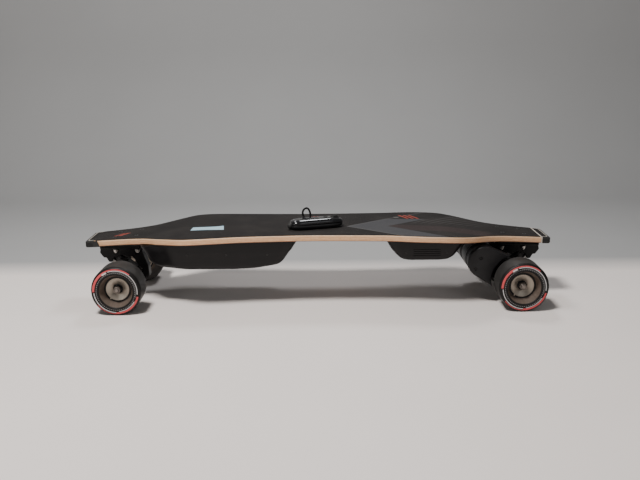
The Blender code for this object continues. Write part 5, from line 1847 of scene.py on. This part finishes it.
def make_handset_button(place, rubber):
    """A dished round key."""
    button = new_shape()
    levels = [
        (0.0040, -0.0045), (0.0042, -0.0041), (0.0042, 0.0003), (0.0039, 0.0008), (0.0032, 0.0010),
        (0.0020, 0.0006), (0.0006, 0.0005),
    ]
    stack(button, levels, place @ Matrix.Translation((BUTTON_X, 0, HANDSET_HEIGHT)), 40)
    piece("handset_button_key", button, [rubber], "handset_button", ["handset_button"])


def make_lens(place, glass):
    """The display's flat cover, in its pocket."""
    lens = new_shape()
    half_x, half_y = 0.0139, 0.0079
    low = (LENS_X - half_x, -half_y, HANDSET_HEIGHT - 0.0011)
    high = (LENS_X + half_x, half_y, HANDSET_HEIGHT + 0.0001)
    block(lens, low, high, 0.0003, 0.0014, place)
    piece("display_glass", lens, [glass], "handset", ["display_lens"])


def make_handset_fittings(place, rubber, chrome):
    """Two bright studs, a bar and screws, and the rubber plug in the handset's end."""
    trim = new_shape()
    for y in (-0.0088, 0.0036):
        at = place @ Matrix.Translation((-0.0455, y, HANDSET_HEIGHT - 0.0052))
        stack(trim, [(0.0026, 0.0), (0.0026, 0.0030), (0.0021, 0.0038), (0.0010, 0.0041)], at, 28)
    end = place @ aimed((-HANDSET_HALF[0] + 0.0006, 0.0, HANDSET_SPLIT), (-1, 0, 0))
    block(trim, (-0.0030, -0.0052, -0.0010), (0.0030, 0.0052, 0.0008), 0.0003, 0.0016, end)
    plug = new_shape()
    levels = [(0.0050, -0.0040), (0.0056, 0.0012), (0.0056, 0.0034), (0.0042, 0.0052), (0.0018, 0.0060)]
    stack(plug, levels, place @ aimed((-HANDSET_HALF[0], 0.0, HANDSET_SPLIT - 0.0020), (-1, 0, -0.1)), 36)
    piece("handset_end_plug", plug, [rubber], "handset")
    for x, y in ((-0.0300, -0.0075), (0.0300, 0.0075)):
        under = place @ Matrix.Translation((x, y, 0.0004)) @ Matrix.Rotation(math.pi, 4, "X")
        flat_screw(trim, under, 0.0018)
    piece("handset_fittings", trim, [chrome], "handset")


CORD_ROUTE = (
    (-0.0196, -0.0200, 0.1545), (-0.0220, -0.0182, 0.1568), (-0.0270, -0.0165, 0.1620),
    (-0.0306, -0.0150, 0.1690), (-0.0303, -0.0138, 0.1756), (-0.0270, -0.0130, 0.1801),
    (-0.0230, -0.0125, 0.1815), (-0.0190, -0.0127, 0.1794), (-0.0164, -0.0133, 0.1738),
    (-0.0153, -0.0145, 0.1672), (-0.0149, -0.0164, 0.1608), (-0.0146, -0.0180, 0.1570),
    (-0.0140, -0.0190, 0.1545),
)


def through(points, per_span):
    """Points of a smooth curve through the given ones."""
    points = [Vector(point) for point in points]
    padded = [points[0] * 2 - points[1]] + points + [points[-1] * 2 - points[-2]]
    out = []
    for a, b, c, d in zip(padded, padded[1:], padded[2:], padded[3:]):
        for step in range(per_span):
            t = step / per_span
            bend = (2 * a - 5 * b + 4 * c - d) * t**2 + (3 * b - a - 3 * c + d) * t**3
            out.append(0.5 * (2 * b + (c - a) * t + bend))
    return out + [points[-1]]


def make_lanyard(braid):
    """A wrist loop of stiff braided cord. Both of its ends go into the handset."""
    route = through(CORD_ROUTE, 3)
    curve = bpy.data.curves.new("lanyard_cord", "CURVE")
    curve.dimensions = "3D"
    curve.bevel_depth = CORD_R
    curve.bevel_resolution = 4
    curve.use_fill_caps = True
    spline = curve.splines.new("POLY")
    spline.points.add(len(route) - 1)
    for target, point in zip(spline.points, route):
        target.co = (*point, 1.0)
    spline.use_smooth = True
    curve.materials.append(braid)
    cord = bpy.data.objects.new("lanyard_cord", curve)
    bpy.context.scene.collection.objects.link(cord)
    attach(cord, "handset")
    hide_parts("lanyard_loop")


# Everything

# (name, dark and light colour, roughness, depth of the texture, how dusty)
MOULDED = (
    ("black_rubber", (0.014, 0.014, 0.014), (0.030, 0.029, 0.028), (0.55, 0.75), 0.00006, 0.10),
    ("enclosure_plastic", (0.0035, 0.0033, 0.0038), (0.0075, 0.0070, 0.0078), (0.30, 0.46), 0.00003, 0.02),
    ("cover_plastic", (0.0070, 0.0068, 0.0074), (0.0135, 0.0130, 0.0138), (0.34, 0.52), 0.00004, 0.04),
    ("satin_plastic", (0.0085, 0.0085, 0.009), (0.015, 0.015, 0.016), (0.32, 0.5), 0.00003, 0.05),
    ("bushing_urethane", (0.020, 0.020, 0.021), (0.042, 0.041, 0.040), (0.35, 0.5), 0.00002, 0.10),
    # pale_line is the printed ring on the power button and the painted rim highlight round the bumpers
    ("pale_line", (0.42, 0.38, 0.33), (0.56, 0.52, 0.46), (0.6, 0.75), 0.00003, 0.2),
    ("tape", (0.50, 0.30, 0.06), (0.62, 0.40, 0.10), (0.35, 0.5), 0.00003, 0.10),
    ("cell_wrap", (0.03, 0.12, 0.32), (0.05, 0.18, 0.42), (0.28, 0.4), 0.00002, 0.10),
    ("belt_rubber", (0.010, 0.010, 0.010), (0.022, 0.022, 0.022), (0.6, 0.8), 0.00008, 0.10),
    ("dark_parts", (0.010, 0.010, 0.011), (0.022, 0.022, 0.023), (0.4, 0.6), 0.00003, 0.10),
    ("display_glass", (0.004, 0.004, 0.005), (0.009, 0.010, 0.012), (0.04, 0.09), 0.0, 0.02),
)
EVEN = (1.0, 1.0, 1.0)
# (name, dark and light colour, roughness, stretch of the marks, metallic)
METALS = (
    ("motor_can", (0.006, 0.006, 0.0065), (0.018, 0.018, 0.019), (0.34, 0.50), (1.0, 1.0, 30.0), 0.3),
    ("plated_steel", (0.42, 0.40, 0.37), (0.66, 0.64, 0.61), (0.20, 0.38), EVEN, 1.0),
    ("black_steel", (0.020, 0.020, 0.021), (0.055, 0.054, 0.052), (0.32, 0.5), EVEN, 0.8),
    ("worn_steel", (0.13, 0.112, 0.098), (0.27, 0.235, 0.21), (0.30, 0.48), EVEN, 0.8),
    ("hub_metal", (0.27, 0.235, 0.19), (0.44, 0.39, 0.33), (0.30, 0.48), (6.0, 6.0, 1.0), 0.75),
    ("pulley_metal", (0.05, 0.05, 0.052), (0.12, 0.12, 0.122), (0.30, 0.46), (1.0, 1.0, 20.0), 0.9),
    ("nickel", (0.5, 0.48, 0.44), (0.7, 0.68, 0.62), (0.25, 0.4), EVEN, 1.0),
    ("chrome", (0.62, 0.63, 0.66), (0.82, 0.83, 0.86), (0.08, 0.18), EVEN, 1.0),
)


def make_board(looks, grip):
    """The deck with what is fixed to it, and the electrics."""
    rubber, enclosure, dark = looks["black_rubber"], looks["enclosure_plastic"], looks["dark_parts"]
    make_deck(plywood_look())
    make_grip(grip)
    for name, end in (("nose_bumper", -1), ("tail_bumper", 1)):
        make_bumper(name, end, rubber, grip, looks["pale_line"])
    make_label(paper_look())
    make_enclosure("battery_enclosure", BATTERY_LEVELS, BATTERY_PLAN, enclosure, [button_hole()])
    make_enclosure("controller_enclosure", CONTROLLER_LEVELS, CONTROLLER_PLAN, enclosure, [port_hole()])
    make_enclosure_screws(looks["black_steel"])
    make_cooling_ribs(enclosure)
    make_power_button(rubber, looks["pale_line"])
    make_charge_port(rubber, looks["plated_steel"], dark)
    make_battery_pack(looks["cell_wrap"], looks["nickel"], looks["tape"])
    make_controller_board(board_look(), dark, looks["nickel"])


def make_truck(looks, paint, tyre, end, axle_x, side):
    """One truck with its wheels."""
    steel, rubber = looks["plated_steel"], looks["black_rubber"]
    truck = Matrix.Translation((axle_x, 0, 0)) @ Matrix.Rotation(0.0 if side > 0 else math.pi, 4, "Z")
    make_riser(end, truck, side, axle_x, rubber)
    make_baseplate(end, truck, paint)
    make_hanger(end, truck, paint)
    make_steering_parts(end, truck, steel, looks["bushing_urethane"], rubber)
    make_truck_bolts(end, truck, axle_x, side, steel, looks["black_steel"])
    make_axle(end, axle_x, looks["worn_steel"])
    for hand_name, hand in HANDS:
        place = wheel_place(axle_x, AXLE_Z, hand)
        tag = f"{end}_{hand_name}"
        make_tyre(tag, place, tyre)
        make_core(tag, place, looks["hub_metal"], looks["dark_parts"], side > 0)


def make_drive(looks, paint, copper, name, hand):
    """One motor with its mount, two pulleys, belt and cover."""
    rear = Matrix.Translation((REAR_AXLE_X, 0, 0))
    wheel = wheel_place(REAR_AXLE_X, AXLE_Z, hand)
    shaft = wheel_place(MOTOR_X, MOTOR_Z, hand)
    metal = looks["pulley_metal"]
    make_motor_can(name, shaft, looks["motor_can"], looks["plated_steel"])
    make_motor_windings(name, shaft, copper, looks["dark_parts"])
    make_mount(name, hand, rear, paint, looks["plated_steel"])
    make_pulley(
        name + "_wheel_sprocket", name + "_wheel_pulley", WHEEL_PULLEY_R, WHEEL_TEETH, wheel,
        f"rear_{name}_wheel", metal, WHEEL_PULLEY_BORE, WHEEL_PULLEY_HUB_END,
    )
    make_pulley(
        name + "_motor_sprocket", name + "_motor_pulley", MOTOR_PULLEY_R, MOTOR_TEETH, shaft,
        name + "_motor", metal, MOTOR_PULLEY_BORE,
    )
    make_belt(name, hand, rear, looks["belt_rubber"])
    make_cover(name, hand, rear, looks["cover_plastic"], looks["black_steel"])


def make_handset(looks):
    """The handset that lies on the deck."""
    place = handset_place()
    rubber, chrome = looks["black_rubber"], looks["chrome"]
    make_handset_shells(place, gloss_look(), looks["satin_plastic"])
    make_thumb_wheel(place, rubber, chrome)
    make_handset_button(place, rubber)
    make_lens(place, looks["display_glass"])
    make_handset_fittings(place, rubber, chrome)


def build():
    make_camera()
    make_lanyard(braid_look())
    make_lights()
    make_backdrop()
    looks = {row[0]: moulded_look(*row) for row in MOULDED}
    looks.update({row[0]: metal_look(*row) for row in METALS})
    paint = paint_look()
    tyre = tyre_look()
    copper = copper_look()
    make_board(looks, grip_look())
    for end, axle_x, side in ENDS:
        make_truck(looks, paint, tyre, end, axle_x, side)
    for name, hand in HANDS:
        make_drive(looks, paint, copper, name, hand)
    make_handset(looks)


build()
